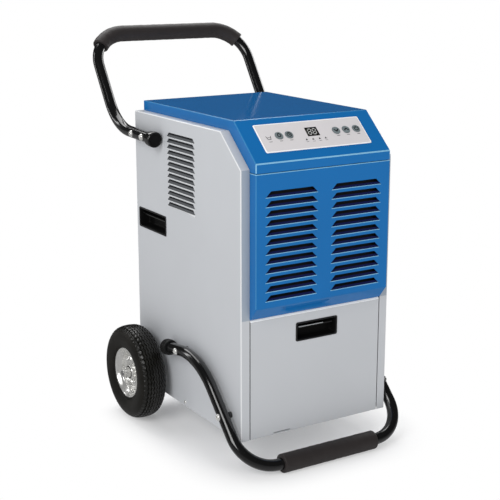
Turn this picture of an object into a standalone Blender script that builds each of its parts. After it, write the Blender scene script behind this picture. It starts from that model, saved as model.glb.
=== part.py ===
"""Portable commercial dehumidifier on two pneumatic wheels.

A sheet-metal cabinet with a blue hood and louvred intake grille, a bent-tube push
handle, a bent-tube front foot, a pull-out water tank and the refrigeration parts inside.

Frame: metres, +Z up, the front faces -Y, +X is the right side seen from the front.
The origin is on the floor, under the middle of the whole machine.
Run with: blender --background --python part.py
"""
import math

import bmesh
import bpy
from mathutils import Matrix, Vector

# ---------------------------------------------------------------- driving dimensions
GAP = 0.0003                  # between pieces that touch

# cabinet
FRONT = -0.3590               # Y of the front plane: the door's face and the side flanges
CABINET_HALF = 0.2225         # half width over the side panels
CABINET_DEPTH = 0.551
BOTTOM = 0.0765               # underside of the cabinet above the floor
GREY_TOP = 0.840
GREY_CHAMFER_Y = 0.0952       # the grey chamfer runs from here, on the top ...
GREY_CHAMFER_Z = 0.7583       # ... to here, on the front plane
SHEET = 0.0012
FLANGE = 0.0244               # visible width of a side panel's folded edge

# blue hood and grille, which stand proud of the grey panels
BLUE_HALF = 0.1977
BLUE_TOP = 0.866
BLUE_PROUD = 0.0275
BLUE_REAR_Y = 0.548
SLOPE_TOP_Y = 0.0739
SLOPE_LOW_Z = 0.7756
LIP_Z = 0.7520
SKIRT = 0.006                 # how far the blue pieces reach in between the flanges
GRILLE_TOP = 0.7510
GRILLE_FOLD_Z = 0.4218        # the bottom chamfer starts here
GRILLE_BOTTOM = 0.3886
GRILLE_PIVOT = (-BLUE_PROUD + 0.001, GRILLE_TOP - 0.001)
FINGER_RECESS = (0.112, 0.152, 0.017)     # long edge, short edge and height of its opening
FINGER_RECESS_AT = (-0.048, 0.4025)       # X and Z of its lower corner line
FILTER_SIZE = (0.372, 0.300)
FILTER_Y = (-0.0145, -0.0055)             # front and back of the intake filter
FILTER_Z = 0.588
FILTER_FRAME = 0.014                      # width of its frame round the media
BOARD_OPENING = (0.280, 0.056)            # window in the slope behind the control panel
BOARD_OPENING_AT = (0.0125, 0.007)

# louvres
LOUVRE_ROWS = 12
LOUVRE_PITCH = 0.0232
LOUVRE_LOWEST = 0.4375
LOUVRE_INNER = 0.020          # distance of each column from the centre line
LOUVRE_WIDTH = 0.151
LOUVRE_HEIGHT = 0.0152
SIDE_LOUVRE_ROWS = 13
SIDE_LOUVRE_PITCH = 0.0152
SIDE_LOUVRE_LOWEST = 0.6100
SIDE_LOUVRE_Y = 0.295         # middle of the block behind the front plane
SIDE_LOUVRE_WIDTH = 0.150
SIDE_LOUVRE_HEIGHT = 0.0118
REAR_LOUVRE_ROWS = 10
REAR_LOUVRE_LOWEST = 0.480

# lower door and its tank
DOOR_TOP = 0.3875
DOOR_HALF = 0.1966
DOOR_DEPTH = 0.012
PULL_Z = 0.3358
PULL_SIZE = (0.126, 0.0495)
TANK_HALF = 0.190
TANK_REAR_Y = 0.280
TANK_TOP = 0.300
TANK_WALL = 0.0025
TANK_FLOOR = 0.0798
DOOR_SLOT = (0.050, 0.006)    # notch in the door's lower edge
DOOR_SLOT_X = -0.103
FLOAT_PIVOT = (0.262, 0.282)
FLOAT_X = 0.110
FLOAT_LUG = (0.006, 0.024, 0.016)
FLOAT_LUG_OFF = 0.010         # the lug stands beside the float's arm
FLOAT_PIN = 0.0020
FLOAT_DROP = math.radians(40)
FLOAT_ARM = (0.006, 0.090, 0.006)
FLOAT_BODY = (0.046, 0.050, 0.026)
BEZEL = 0.004                 # rim of a recessed pull outside its hole

# recessed grips in the side panels
GRIP_Y = 0.4585
GRIP_Z = 0.5505
GRIP_SIZE = (0.157, 0.055)
GRIP_DEPTH = 0.028
PULL_DEPTH = 0.022
RIM_THICK = 0.0016            # of a recessed pull
POCKET_WALL = 0.002

# bent tubes
TUBE_RADIUS = 0.015
TUBE_WALL = 0.0015
TUBE_SIDES = 12
TUBE_X = 0.245
HANDLE_END = (0.3945, 0.7822)     # each tube corner as (Y behind the front plane, Z)
HANDLE_ELBOW = (0.6176, 0.7890)
HANDLE_BAR = (0.7800, 1.0300)
HANDLE_BENDS = (0.150, 0.099)     # bend radius at the elbow and at the bar
HANDLE_GRIP_RADIUS = 0.0225
FOOT_END = (0.3450, 0.2310)
FOOT_ELBOW = (0.1700, 0.2560)
FOOT_BAR = (-0.0600, 0.0242)
FOOT_BENDS = (0.190, 0.094)
FOOT_GRIP_RADIUS = 0.0242
FOOT_GRIP_HALF = 0.142
CAP_RADIUS = 0.0212
CAP_LENGTH = 0.026
BOLT_SHANK = 0.004
BOLT_HEAD = 0.0075
HANDLE_BOLTS = ((0.4435, 0.7837), (0.5039, 0.7855))
FOOT_BOLTS = ((0.2712, 0.2415), (0.0488, 0.1340))

# wheels
WHEEL_Y = 0.472
WHEEL_X = 0.279
TYRE_RADIUS = 0.1295
TYRE_HALF_WIDTH = 0.038
TYRE_WALL = 0.006
RIM_RADIUS = 0.0660
RIM_BARREL = 0.0520
RIM_HALF_WIDTH = 0.0275
HUB_RADIUS = 0.0150
HUB_HALF = 0.0330
AXLE_RADIUS = 0.0080
AXLE_HALF = 0.3200
NUT_RADIUS = 0.0125
NUT_THICK = 0.0055

# control panel, in its own frame on the sloping face
PANEL_SIZE = (0.310, 0.087)
PANEL_DOWN = 0.0635           # from the slope's top edge to the panel's middle
PANEL_THICK = 0.0018
DISPLAY_SIZE = (0.035, 0.027)
DISPLAY_UP = 0.008
BUTTON_RADIUS = 0.0108
BUTTON_UP = 0.0043
BUTTONS = {
    "mode_button": -0.098,
    "timer_button": -0.069,
    "down_button": 0.070,
    "up_button": 0.100,
    "power_button": 0.131,
}

# inside
PAN_SHEET = 0.0015
PAN_HEIGHT = 0.108
DECK_SHEET = 0.0015
DECK_Z = 0.3920
COIL_HALF = 0.165
COIL_TOP = 0.742
EVAPORATOR_Y = (0.055, 0.090)
CONDENSER_Y = (0.100, 0.140)
SHROUD_Y = 0.152
SHROUD_HALF = 0.185
SHROUD_TOP = 0.745
FAN_Z = 0.572
FAN_RADIUS = 0.146
FAN_HUB = 0.032
FAN_Y = 0.174
FAN_BLADES = 5
MOTOR_Y = (0.200, 0.2747)
MOTOR_RADIUS = 0.046
COMPRESSOR_AT = (-0.095, 0.372)
COMPRESSOR_RADIUS = 0.060
COMPRESSOR_TOP = 0.310
COMPRESSOR_FOOT = (0.130, 0.120, 0.016)
PIPE_RADIUS = 0.0045
BRACKET_STEEL = 0.003
AXLE_BRACKET_TOP = 0.160
AXLE_BRACKET_WIDTH = 0.064
MOTOR_STRAP_HALF = 0.172
TRAY_HALF = 0.182
TRAY_Y = (0.045, 0.150)
TRAY_HEIGHT = 0.022
SPOUT_Y = 0.095
SPOUT_RADIUS = 0.010
BOX_LOW = (0.330, 0.060)      # the electrical box's near corner as (Y, X) ...
BOX_HIGH = (0.410, 0.185)     # ... and its far one
BOX_TOP = 0.240

# rear fittings
GLAND_AT = (-0.150, 0.150)    # X and Z
OUTLET_AT = (0.150, 0.130)

ROUND = 24                    # sides of large round pieces
SMALL_ROUND = 12

for old in list(bpy.data.objects):
    bpy.data.objects.remove(old, do_unlink=True)

parts = bpy.data.collections.new("dehumidifier")
cutters = bpy.data.collections.new("cutters")
for group in (parts, cutters):
    bpy.context.scene.collection.children.link(group)


# ---------------------------------------------------------------- materials
def material(name, colour, roughness, metallic=0.0):
    made = bpy.data.materials.new(name)
    made.use_nodes = True
    shader = made.node_tree.nodes["Principled BSDF"]
    shader.inputs["Base Color"].default_value = (*colour, 1.0)
    shader.inputs["Roughness"].default_value = roughness
    shader.inputs["Metallic"].default_value = metallic
    return made


GREY_PAINT = material("grey_paint", (0.53, 0.55, 0.57), 0.35)
BLUE_PAINT = material("blue_paint", (0.015, 0.13, 0.36), 0.25)
BLACK_GLOSS = material("black_gloss", (0.012, 0.012, 0.013), 0.15)
BLACK_PLASTIC = material("black_plastic", (0.02, 0.02, 0.02), 0.45)
FOAM = material("foam", (0.045, 0.040, 0.038), 0.85)
RUBBER = material("rubber", (0.02, 0.02, 0.02), 0.75)
ZINC = material("zinc", (0.70, 0.69, 0.66), 0.30, 1.0)
STEEL = material("steel", (0.55, 0.55, 0.55), 0.35, 1.0)
PANEL_WHITE = material("panel_white", (0.75, 0.72, 0.71), 0.40)
BUTTON_GREY = material("button_grey", (0.24, 0.28, 0.29), 0.50)
SMOKED = material("smoked_window", (0.05, 0.05, 0.05), 0.10)
BOARD_GREEN = material("board_green", (0.03, 0.16, 0.06), 0.50)
COIL_METAL = material("coil_aluminium", (0.70, 0.71, 0.72), 0.40, 1.0)
COPPER = material("copper", (0.72, 0.36, 0.20), 0.30, 1.0)
TANK_PLASTIC = material("tank_plastic", (0.72, 0.74, 0.75), 0.45)
FILTER_MEDIA = material("filter_media", (0.10, 0.10, 0.11), 0.80)


# ---------------------------------------------------------------- helpers
def at(y, z, x=0.0):
    """A point given as the drawings do: Y behind the front plane, Z above the floor."""
    return Vector((x, FRONT + y, z))


def put(name, mesh, mat, location=(0, 0, 0), rotation=(0, 0, 0), parent=None):
    """Make one named object of the assembly."""
    made = bpy.data.objects.new(name, mesh)
    mesh.materials.append(mat)
    parts.objects.link(made)
    made.location = location
    made.rotation_euler = rotation
    made.parent = parent
    return made


def smooth(mesh, angle=35):
    mesh.shade_smooth()
    mesh.set_sharp_from_angle(angle=math.radians(angle))
    return mesh


def box_mesh(size):
    bm = bmesh.new()
    bmesh.ops.create_cube(bm, size=1.0)
    bmesh.ops.scale(bm, vec=size, verts=bm.verts)
    mesh = bpy.data.meshes.new("box")
    bm.to_mesh(mesh)
    bm.free()
    return mesh


def box(name, low, high, mat, bevel=0.0):
    """A box between two corners, its edges rounded when a bevel is given."""
    low, high = Vector(low), Vector(high)
    made = put(name, box_mesh(high - low), mat, (low + high) / 2)
    if bevel:
        round_edges(made, bevel)
    return made


def round_edges(made, width, segments=1):
    rounding = made.modifiers.new("rounding", "BEVEL")
    rounding.width = width
    rounding.segments = segments
    rounding.limit_method = "ANGLE"


def cylinder_mesh(radius, length, sides=SMALL_ROUND):
    bm = bmesh.new()
    bmesh.ops.create_cone(bm, cap_ends=True, segments=sides, radius1=radius,
                          radius2=radius, depth=length)
    mesh = bpy.data.meshes.new("cylinder")
    bm.to_mesh(mesh)
    bm.free()
    return mesh


ALONG_X = (0, math.pi / 2, 0)     # turns a piece made along Z to lie along +X
ALONG_Y = (-math.pi / 2, 0, 0)    # ... and along +Y


def outline_mesh(points, thickness):
    """A flat outline in XY as a solid plate, centred on its thickness."""
    curve = bpy.data.curves.new("outline", "CURVE")
    curve.dimensions = "2D"
    curve.fill_mode = "BOTH"
    curve.extrude = thickness / 2
    spline = curve.splines.new("POLY")
    spline.points.add(len(points) - 1)
    for point, (x, y) in zip(spline.points, points):
        point.co = (x, y, 0, 1)
    spline.use_cyclic_u = True
    return baked(curve)


def baked(curve):
    """The mesh of a curve, its caps welded on."""
    holder = bpy.data.objects.new("holder", curve)
    bpy.context.scene.collection.objects.link(holder)
    bpy.context.view_layer.update()
    view = holder.evaluated_get(bpy.context.evaluated_depsgraph_get())
    mesh = bpy.data.meshes.new_from_object(view)
    bpy.data.objects.remove(holder, do_unlink=True)
    bm = bmesh.new()
    bm.from_mesh(mesh)
    bmesh.ops.remove_doubles(bm, verts=bm.verts, dist=0.00001)
    bmesh.ops.recalc_face_normals(bm, faces=bm.faces)
    bm.to_mesh(mesh)
    bm.free()
    return mesh


def profile_mesh(profile, width):
    """A side profile of (Y behind front, Z) points as a solid, centred on X = 0."""
    mesh = outline_mesh([(y, z) for y, z in profile], width)
    turn = Matrix(((0, 0, 1), (1, 0, 0), (0, 1, 0))).to_4x4()
    mesh.transform(turn)
    return mesh


def open_up(mesh, directions):
    """Delete the faces that look in the given directions, which leaves an open surface."""
    bm = bmesh.new()
    bm.from_mesh(mesh)
    bmesh.ops.dissolve_limit(bm, angle_limit=0.001, verts=bm.verts, edges=bm.edges)
    gone = [f for f in bm.faces if any(f.normal.dot(Vector(d)) > 0.999 for d in directions)]
    bmesh.ops.delete(bm, geom=gone, context="FACES")
    bm.to_mesh(mesh)
    bm.free()
    return mesh


def thicken(made, thickness):
    wall = made.modifiers.new("wall", "SOLIDIFY")
    wall.thickness = thickness
    wall.offset = -1
    wall.use_even_offset = True


def open_box(name, low, high, openings, wall, mat, bevel=0.0):
    """A box without the sides that look along the openings, made of sheet."""
    low, high = Vector(low), Vector(high)
    made = put(name, open_up(box_mesh(high - low), openings), mat, (low + high) / 2)
    if bevel:
        round_edges(made, bevel)
    thicken(made, wall)
    return made


def cutter(meshes):
    """One hidden cutting tool of separate closed bodies, each a (mesh, matrix) pair."""
    bm = bmesh.new()
    for mesh, matrix in meshes:
        mesh.transform(matrix)
        bm.from_mesh(mesh)
    joined = bpy.data.meshes.new("cutter")
    bm.to_mesh(joined)
    bm.free()
    tool = bpy.data.objects.new("cutter", joined)
    cutters.objects.link(tool)
    tool.hide_render = True
    tool.display_type = "WIRE"
    return tool


def combine(made, meshes, operation="DIFFERENCE"):
    """Cut the tool's bodies out of a piece, or join them to it."""
    change = made.modifiers.new(operation.lower(), "BOOLEAN")
    change.operation = operation
    change.object = cutter(meshes)
    change.solver = "EXACT"


def placed(location, rotation=(0, 0, 0)):
    turn = Matrix.Rotation(rotation[2], 4, "Z") @ Matrix.Rotation(rotation[1], 4, "Y")
    return Matrix.Translation(location) @ turn @ Matrix.Rotation(rotation[0], 4, "X")


def turned(name, profile, mat, location, rotation=(0, 0, 0), steps=ROUND, closed=False):
    """A turned piece: (radius, height) points down its outer side, then back up inside."""
    mesh = bpy.data.meshes.new(name)
    links = [(i, i + 1) for i in range(len(profile) - 1)]
    if closed:
        links.append((len(profile) - 1, 0))
    mesh.from_pydata([(r, 0, h) for r, h in profile], links, [])
    made = put(name, mesh, mat, location, rotation)
    spin = made.modifiers.new("spin", "SCREW")
    spin.axis = "Z"
    spin.steps = steps
    spin.render_steps = steps
    spin.use_merge_vertices = True
    spin.merge_threshold = 0.00005
    spin.use_smooth_shade = True
    return made


def rounded_path(corners, radii, steps=5):
    """The corners of a bent tube, each replaced by points along its bend."""
    path = [Vector(corners[0])]
    for before, here, after, radius in zip(corners, corners[1:], corners[2:], radii):
        here = Vector(here)
        arm_in = (Vector(before) - here).normalized()
        arm_out = (Vector(after) - here).normalized()
        half = arm_in.angle(arm_out) / 2
        centre = here + (arm_in + arm_out).normalized() * (radius / math.sin(half))
        first = here + arm_in * (radius / math.tan(half)) - centre
        last = here + arm_out * (radius / math.tan(half)) - centre
        for step in range(steps + 1):
            path.append(centre + first.slerp(last, step / steps).normalized() * radius)
    path.append(Vector(corners[-1]))
    return path


def tube_mesh(path, radius, sides=TUBE_SIDES, caps=True):
    """A round tube or rod along the points of a path."""
    curve = bpy.data.curves.new("tube", "CURVE")
    curve.dimensions = "3D"
    curve.bevel_depth = radius
    curve.bevel_resolution = sides // 2 - 2
    curve.use_fill_caps = caps
    spline = curve.splines.new("POLY")
    spline.points.add(len(path) - 1)
    for point, place in zip(spline.points, path):
        point.co = (*place, 1)
    return smooth(baked(curve), 50)


def mirrored(points):
    """The same points on the other side of the machine, in reverse order."""
    return [Vector((-p.x, p.y, p.z)) for p in reversed(points)]


# ---------------------------------------------------------------- sheet-metal cabinet
def trapezoid(wide, narrow, height):
    """A louvre opening: its long edge is the lower one."""
    return [(-wide / 2, 0), (wide / 2, 0), (narrow / 2, height), (-narrow / 2, height)]


def louvre_holes(rows, pitch, lowest, columns, width, height, place):
    """Cutters for a block of louvres. place(u, z) gives each one's matrix."""
    holes = []
    for row in range(rows):
        for column in columns:
            shape = outline_mesh(trapezoid(width, width - 2 * height, height), 0.012)
            holes.append((shape, place(column, lowest + row * pitch)))
    return holes


def side_hole(y, z, radius, side):
    """A round cutter through a side panel."""
    place = placed(at(y, z, side * CABINET_HALF), ALONG_X)
    return cylinder_mesh(radius, 0.02), place


def side_panel(name, side):
    """A folded sheet: the side with flanges along its top, chamfer and front."""
    profile = [(0, BOTTOM), (CABINET_DEPTH, BOTTOM), (CABINET_DEPTH, GREY_TOP),
               (GREY_CHAMFER_Y, GREY_TOP), (0, GREY_CHAMFER_Z)]
    mesh = profile_mesh(profile, FLANGE)
    open_up(mesh, [(-side, 0, 0), (0, 0, -1), (0, 1, 0)])
    panel = put(name, mesh, GREY_PAINT, (side * (CABINET_HALF - FLANGE / 2), FRONT, 0))
    thicken(panel, SHEET)

    def place(column, z):
        upright = Matrix.Rotation(math.pi / 2, 4, "Z") @ Matrix.Rotation(math.pi / 2, 4, "X")
        return Matrix.Translation(at(column, z, side * CABINET_HALF)) @ upright

    holes = louvre_holes(SIDE_LOUVRE_ROWS, SIDE_LOUVRE_PITCH, SIDE_LOUVRE_LOWEST,
                         [SIDE_LOUVRE_Y], SIDE_LOUVRE_WIDTH, SIDE_LOUVRE_HEIGHT, place)
    grip = box_mesh((0.02, GRIP_SIZE[0] - 2 * BEZEL, GRIP_SIZE[1] - 2 * BEZEL))
    holes.append((grip, placed(at(GRIP_Y, GRIP_Z, side * CABINET_HALF))))
    holes.append(side_hole(WHEEL_Y, TYRE_RADIUS, AXLE_RADIUS + 0.0005, side))
    for y, z in HANDLE_BOLTS + FOOT_BOLTS:
        holes.append(side_hole(y, z, BOLT_SHANK + GAP, side))
    combine(panel, holes)


def recessed_cup(name, size, depth, mat, location, rotation):
    """A moulded pull: a rim that lies on the sheet, and a pocket behind it."""
    pocket = (size[0] - 2 * BEZEL - 2 * GAP, size[1] - 2 * BEZEL - 2 * GAP)
    cup = put(name, box_mesh((size[0], size[1], RIM_THICK)), mat, location, rotation)
    turn = placed(location, rotation)
    body = box_mesh((pocket[0], pocket[1], depth))
    combine(cup, [(body, turn @ Matrix.Translation((0, 0, -depth / 2)))], "UNION")
    hollow = box_mesh((pocket[0] - 2 * POCKET_WALL, pocket[1] - 2 * POCKET_WALL, depth))
    lift = POCKET_WALL - depth / 2 + RIM_THICK
    combine(cup, [(hollow, turn @ Matrix.Translation((0, 0, lift)))])


def base_pan():
    """The tray that carries everything, without a rim in front where the tank slides."""
    low = at(DOOR_DEPTH + 2 * GAP, BOTTOM + PAN_SHEET, -CABINET_HALF + SHEET + GAP)
    high = at(CABINET_DEPTH - SHEET - 2 * GAP, PAN_HEIGHT, CABINET_HALF - SHEET - GAP)
    open_box("base_pan", low, high, [(0, 0, 1), (0, -1, 0)], PAN_SHEET, GREY_PAINT)


def rear_panel():
    half = CABINET_HALF - SHEET - GAP
    panel = box("rear_panel", at(CABINET_DEPTH - SHEET, BOTTOM + PAN_SHEET, -half),
                at(CABINET_DEPTH, GREY_TOP - SHEET - GAP, half), GREY_PAINT)

    def place(column, z):
        upright = Matrix.Rotation(math.pi / 2, 4, "X")
        return Matrix.Translation(at(CABINET_DEPTH, z, column)) @ upright

    columns = [-(LOUVRE_INNER + LOUVRE_WIDTH / 2), LOUVRE_INNER + LOUVRE_WIDTH / 2]
    combine(panel, louvre_holes(REAR_LOUVRE_ROWS, LOUVRE_PITCH, REAR_LOUVRE_LOWEST, columns,
                                LOUVRE_WIDTH, LOUVRE_HEIGHT, place))


def mid_deck():
    """The shelf between the tank bay and the air path, with holes for drain and pipes."""
    half = CABINET_HALF - SHEET - GAP
    deck = box("mid_deck", at(0.0085, DECK_Z, -half),
               at(CABINET_DEPTH - SHEET - 2 * GAP, DECK_Z + DECK_SHEET, half), GREY_PAINT)
    drain = (cylinder_mesh(SPOUT_RADIUS + 0.002, 0.02), placed(at(SPOUT_Y, DECK_Z)))
    pipes = (box_mesh((0.034, 0.140, 0.02)), placed(at(0.205, DECK_Z, -0.198)))
    combine(deck, [drain, pipes])


# ---------------------------------------------------------------- blue hood and grille
def slope_direction():
    down = Vector((0, -BLUE_PROUD - SLOPE_TOP_Y, SLOPE_LOW_Z - BLUE_TOP))
    return down.normalized()


def control_frame():
    """An empty on the sloping face: X across, Y up the slope, Z out of it."""
    frame = bpy.data.objects.new("control_frame", None)
    parts.objects.link(frame)
    down = slope_direction()
    frame.location = at(SLOPE_TOP_Y, BLUE_TOP) + down * PANEL_DOWN
    frame.rotation_euler = (math.atan2(-down.z, -down.y), 0, 0)
    return frame


def frame_matrix(frame):
    return placed(frame.location, frame.rotation_euler)


def top_cover(frame):
    """The hood: a folded blue sheet with side skirts that drop between the flanges."""
    profile = [(BLUE_REAR_Y, GREY_TOP - SKIRT), (BLUE_REAR_Y, BLUE_TOP),
               (SLOPE_TOP_Y, BLUE_TOP), (-BLUE_PROUD, SLOPE_LOW_Z), (-BLUE_PROUD, LIP_Z),
               (SKIRT, LIP_Z), (GREY_CHAMFER_Y, GREY_TOP - SKIRT)]
    under = Vector((0, GREY_TOP - SKIRT - LIP_Z, SKIRT - GREY_CHAMFER_Y)).normalized()
    mesh = open_up(profile_mesh(profile, 2 * BLUE_HALF), [(0, 0, -1), under])
    cover = put("top_cover", mesh, BLUE_PAINT, (0, FRONT, 0))
    thicken(cover, SHEET)
    window = box_mesh((*BOARD_OPENING, 0.03))
    spot = frame_matrix(frame) @ Matrix.Translation((*BOARD_OPENING_AT, 0))
    combine(cover, [(window, spot)])


def front_grille():
    """The louvred intake panel, which hangs from its top edge and swings out."""
    profile = [(SKIRT, GRILLE_BOTTOM), (SKIRT, GRILLE_TOP), (-BLUE_PROUD, GRILLE_TOP),
               (-BLUE_PROUD, GRILLE_FOLD_Z), (-0.0003, GRILLE_BOTTOM)]
    mesh = open_up(profile_mesh(profile, 2 * BLUE_HALF), [(0, 1, 0)])
    pivot = at(*GRILLE_PIVOT)
    mesh.transform(Matrix.Translation(Vector((0, FRONT, 0)) - pivot))
    grille = put("front_grille", mesh, BLUE_PAINT, pivot)
    thicken(grille, SHEET)

    def place(column, z):
        upright = Matrix.Rotation(math.pi / 2, 4, "X")
        return Matrix.Translation(at(-BLUE_PROUD, z, column)) @ upright

    columns = [-(LOUVRE_INNER + LOUVRE_WIDTH / 2), LOUVRE_INNER + LOUVRE_WIDTH / 2]
    holes = louvre_holes(LOUVRE_ROWS, LOUVRE_PITCH, LOUVRE_LOWEST, columns,
                         LOUVRE_WIDTH, LOUVRE_HEIGHT, place)
    lean = math.atan2(BLUE_PROUD, GRILLE_FOLD_Z - GRILLE_BOTTOM)
    recess = outline_mesh(trapezoid(*FINGER_RECESS), 0.012)
    x, z = FINGER_RECESS_AT
    on_chamfer = at(-(z - GRILLE_BOTTOM) * math.tan(lean), z, x)
    turn = Matrix.Rotation(math.pi / 2 + lean, 4, "X")
    holes.append((recess, Matrix.Translation(on_chamfer) @ turn))
    combine(grille, holes)


def air_filter():
    """The washable intake filter: a moulded frame with its media set back in it."""
    y_front, y_back = FILTER_Y
    mesh = box_mesh((FILTER_SIZE[0], y_back - y_front, FILTER_SIZE[1]))
    bm = bmesh.new()
    bm.from_mesh(mesh)
    faces = [f for f in bm.faces if abs(f.normal.y) > 0.9]
    bmesh.ops.inset_individual(bm, faces=faces, thickness=FILTER_FRAME)
    for face in faces:
        bmesh.ops.translate(bm, verts=face.verts, vec=-face.normal * 0.0025)
    bm.to_mesh(mesh)
    bm.free()
    put("air_filter", mesh, FILTER_MEDIA, at((y_front + y_back) / 2, FILTER_Z))


# ---------------------------------------------------------------- door and tank
def tank_door():
    """The grey lower front, a shallow pan fixed to the face of the tank."""
    door = open_box("tank_door", at(0, BOTTOM, -DOOR_HALF), at(DOOR_DEPTH, DOOR_TOP, DOOR_HALF),
                    [(0, 1, 0)], SHEET, GREY_PAINT)
    hole = box_mesh((PULL_SIZE[0] - 2 * BEZEL, 0.02, PULL_SIZE[1] - 2 * BEZEL))
    slot = box_mesh((DOOR_SLOT[0], 0.02, 2 * DOOR_SLOT[1]))
    combine(door, [(hole, placed(at(0, PULL_Z))), (slot, placed(at(0, BOTTOM, DOOR_SLOT_X)))])
    recessed_cup("door_pull", PULL_SIZE, PULL_DEPTH, BLACK_PLASTIC,
                 at(-0.0008 - GAP, PULL_Z), (math.pi / 2, 0, 0))


def water_tank():
    """The drawer's bucket, with a lug on its rear wall for the float."""
    low = at(DOOR_DEPTH + GAP, TANK_FLOOR, -TANK_HALF)
    high = at(TANK_REAR_Y, TANK_TOP, TANK_HALF)
    tank = open_box("water_tank", low, high, [(0, 0, 1)], TANK_WALL, TANK_PLASTIC)
    spot = at(FLOAT_PIVOT[0] + 0.005, FLOAT_PIVOT[1], FLOAT_X + FLOAT_LUG_OFF)
    combine(tank, [(box_mesh(FLOAT_LUG), placed(spot))], "UNION")
    hole = cylinder_mesh(FLOAT_PIN + 0.0005, 0.02, 8)
    combine(tank, [(hole, placed(at(*FLOAT_PIVOT, FLOAT_X + FLOAT_LUG_OFF), ALONG_X))])


def float_arm():
    """A float on a short arm, its pin in the tank's lug. It hangs when the tank is empty."""
    pivot = at(*FLOAT_PIVOT, FLOAT_X)
    made = put("float_arm", cylinder_mesh(0.005, 0.008), BLACK_PLASTIC, pivot, ALONG_X)
    pin = cylinder_mesh(FLOAT_PIN, 0.020, 8)
    reach = Vector((0, -math.cos(FLOAT_DROP), -math.sin(FLOAT_DROP)))
    arm, body = box_mesh(FLOAT_ARM), box_mesh(FLOAT_BODY)
    tilt = (FLOAT_DROP, 0, 0)
    combine(made, [(pin, placed(pivot + Vector((0.006, 0, 0)), ALONG_X))], "UNION")
    combine(made, [(arm, placed(pivot + reach * 0.046, tilt))], "UNION")
    combine(made, [(body, placed(pivot + reach * 0.110, tilt))], "UNION")


# ---------------------------------------------------------------- control panel
def control_panel(frame):
    overlay = put("control_overlay", box_mesh((*PANEL_SIZE, PANEL_THICK)), PANEL_WHITE,
                  (0, 0, PANEL_THICK / 2 + GAP), parent=frame)
    holes = [(cylinder_mesh(BUTTON_RADIUS + 0.0005, 0.02, 16), (x, BUTTON_UP))
             for x in BUTTONS.values()]
    opening = [side + 2 * GAP for side in DISPLAY_SIZE]
    holes.append((box_mesh((*opening, 0.02)), (0, DISPLAY_UP)))
    base = frame_matrix(frame)
    combine(overlay, [(mesh, base @ Matrix.Translation((x, y, 0))) for mesh, (x, y) in holes])

    put("display_window", box_mesh((*DISPLAY_SIZE, 0.003)), SMOKED,
        (0, DISPLAY_UP, PANEL_THICK - 0.0012), parent=frame)
    height = 0.0055
    for name, x in BUTTONS.items():
        middle = (x, BUTTON_UP, PANEL_THICK + GAP + 0.0014 - height / 2)
        cap = put(name, smooth(cylinder_mesh(BUTTON_RADIUS, height, 16)), BUTTON_GREY,
                  middle, parent=frame)
        round_edges(cap, 0.0006)
    put("control_board", box_mesh((0.290, 0.066, 0.0016)), BOARD_GREEN,
        (0.004, 0.004, -0.009), parent=frame)


# ---------------------------------------------------------------- tubes, grips, bolts
def u_corners(end, elbow, bar):
    left = [at(*end, -TUBE_X), at(*elbow, -TUBE_X), at(*bar, -TUBE_X)]
    return left + mirrored(left)


def bent_tube(name, end, elbow, bar, bends, bolts):
    """A hollow U-shaped tube with four bends and a cross hole for each bolt."""
    path = rounded_path(u_corners(end, elbow, bar), [*bends, *reversed(bends)])
    frame = put(name, tube_mesh(path, TUBE_RADIUS, caps=False), BLACK_GLOSS)
    thicken(frame, TUBE_WALL)
    holes = []
    for side in (-1, 1):
        for y, z in bolts:
            hole = cylinder_mesh(BOLT_SHANK + 0.0006, 0.05, 8)
            holes.append((hole, placed(at(y, z, side * TUBE_X), ALONG_X)))
    combine(frame, holes)
    return path


def foam_grip(name, path, radius):
    """A foam sleeve over part of a tube."""
    flat = math.cos(math.pi / TUBE_SIDES)     # a side's distance from the middle
    wall = radius * flat - TUBE_RADIUS - 3 * GAP
    sleeve = put(name, tube_mesh(path, radius, caps=False), FOAM)
    thicken(sleeve, wall)


def end_cap(name, end, elbow, side):
    """A rubber cap that slips over a tube's open end."""
    tip, inward = at(*end, side * TUBE_X), at(*elbow, side * TUBE_X)
    along = (inward - tip).normalized()
    bore = TUBE_RADIUS + 2 * GAP
    nose = 0.0035
    profile = [(0, 0), (CAP_RADIUS - 0.0015, 0), (CAP_RADIUS, -0.0015),
               (CAP_RADIUS, -CAP_LENGTH), (bore, -CAP_LENGTH), (bore, -nose), (0, -nose)]
    lean = (-along).to_track_quat("Z", "Y").to_euler()
    turned(name, profile, RUBBER, tip - along * (nose + GAP), lean, steps=16)


def bolt(name, y, z, side):
    """A shouldered bolt: head, shank through the tube, collar against the panel."""
    head = TUBE_X + TUBE_RADIUS + GAP - CABINET_HALF
    collar = TUBE_X - TUBE_RADIUS - GAP - CABINET_HALF
    profile = [(0, head + 0.0045), (BOLT_HEAD * 0.7, head + 0.0038), (BOLT_HEAD, head),
               (BOLT_SHANK, head), (BOLT_SHANK, collar), (0.008, collar), (0.008, GAP),
               (BOLT_SHANK, GAP), (BOLT_SHANK, -0.008), (0, -0.008)]
    turned(name, profile, ZINC, at(y, z, side * CABINET_HALF), (0, side * math.pi / 2, 0),
           steps=8)


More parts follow.
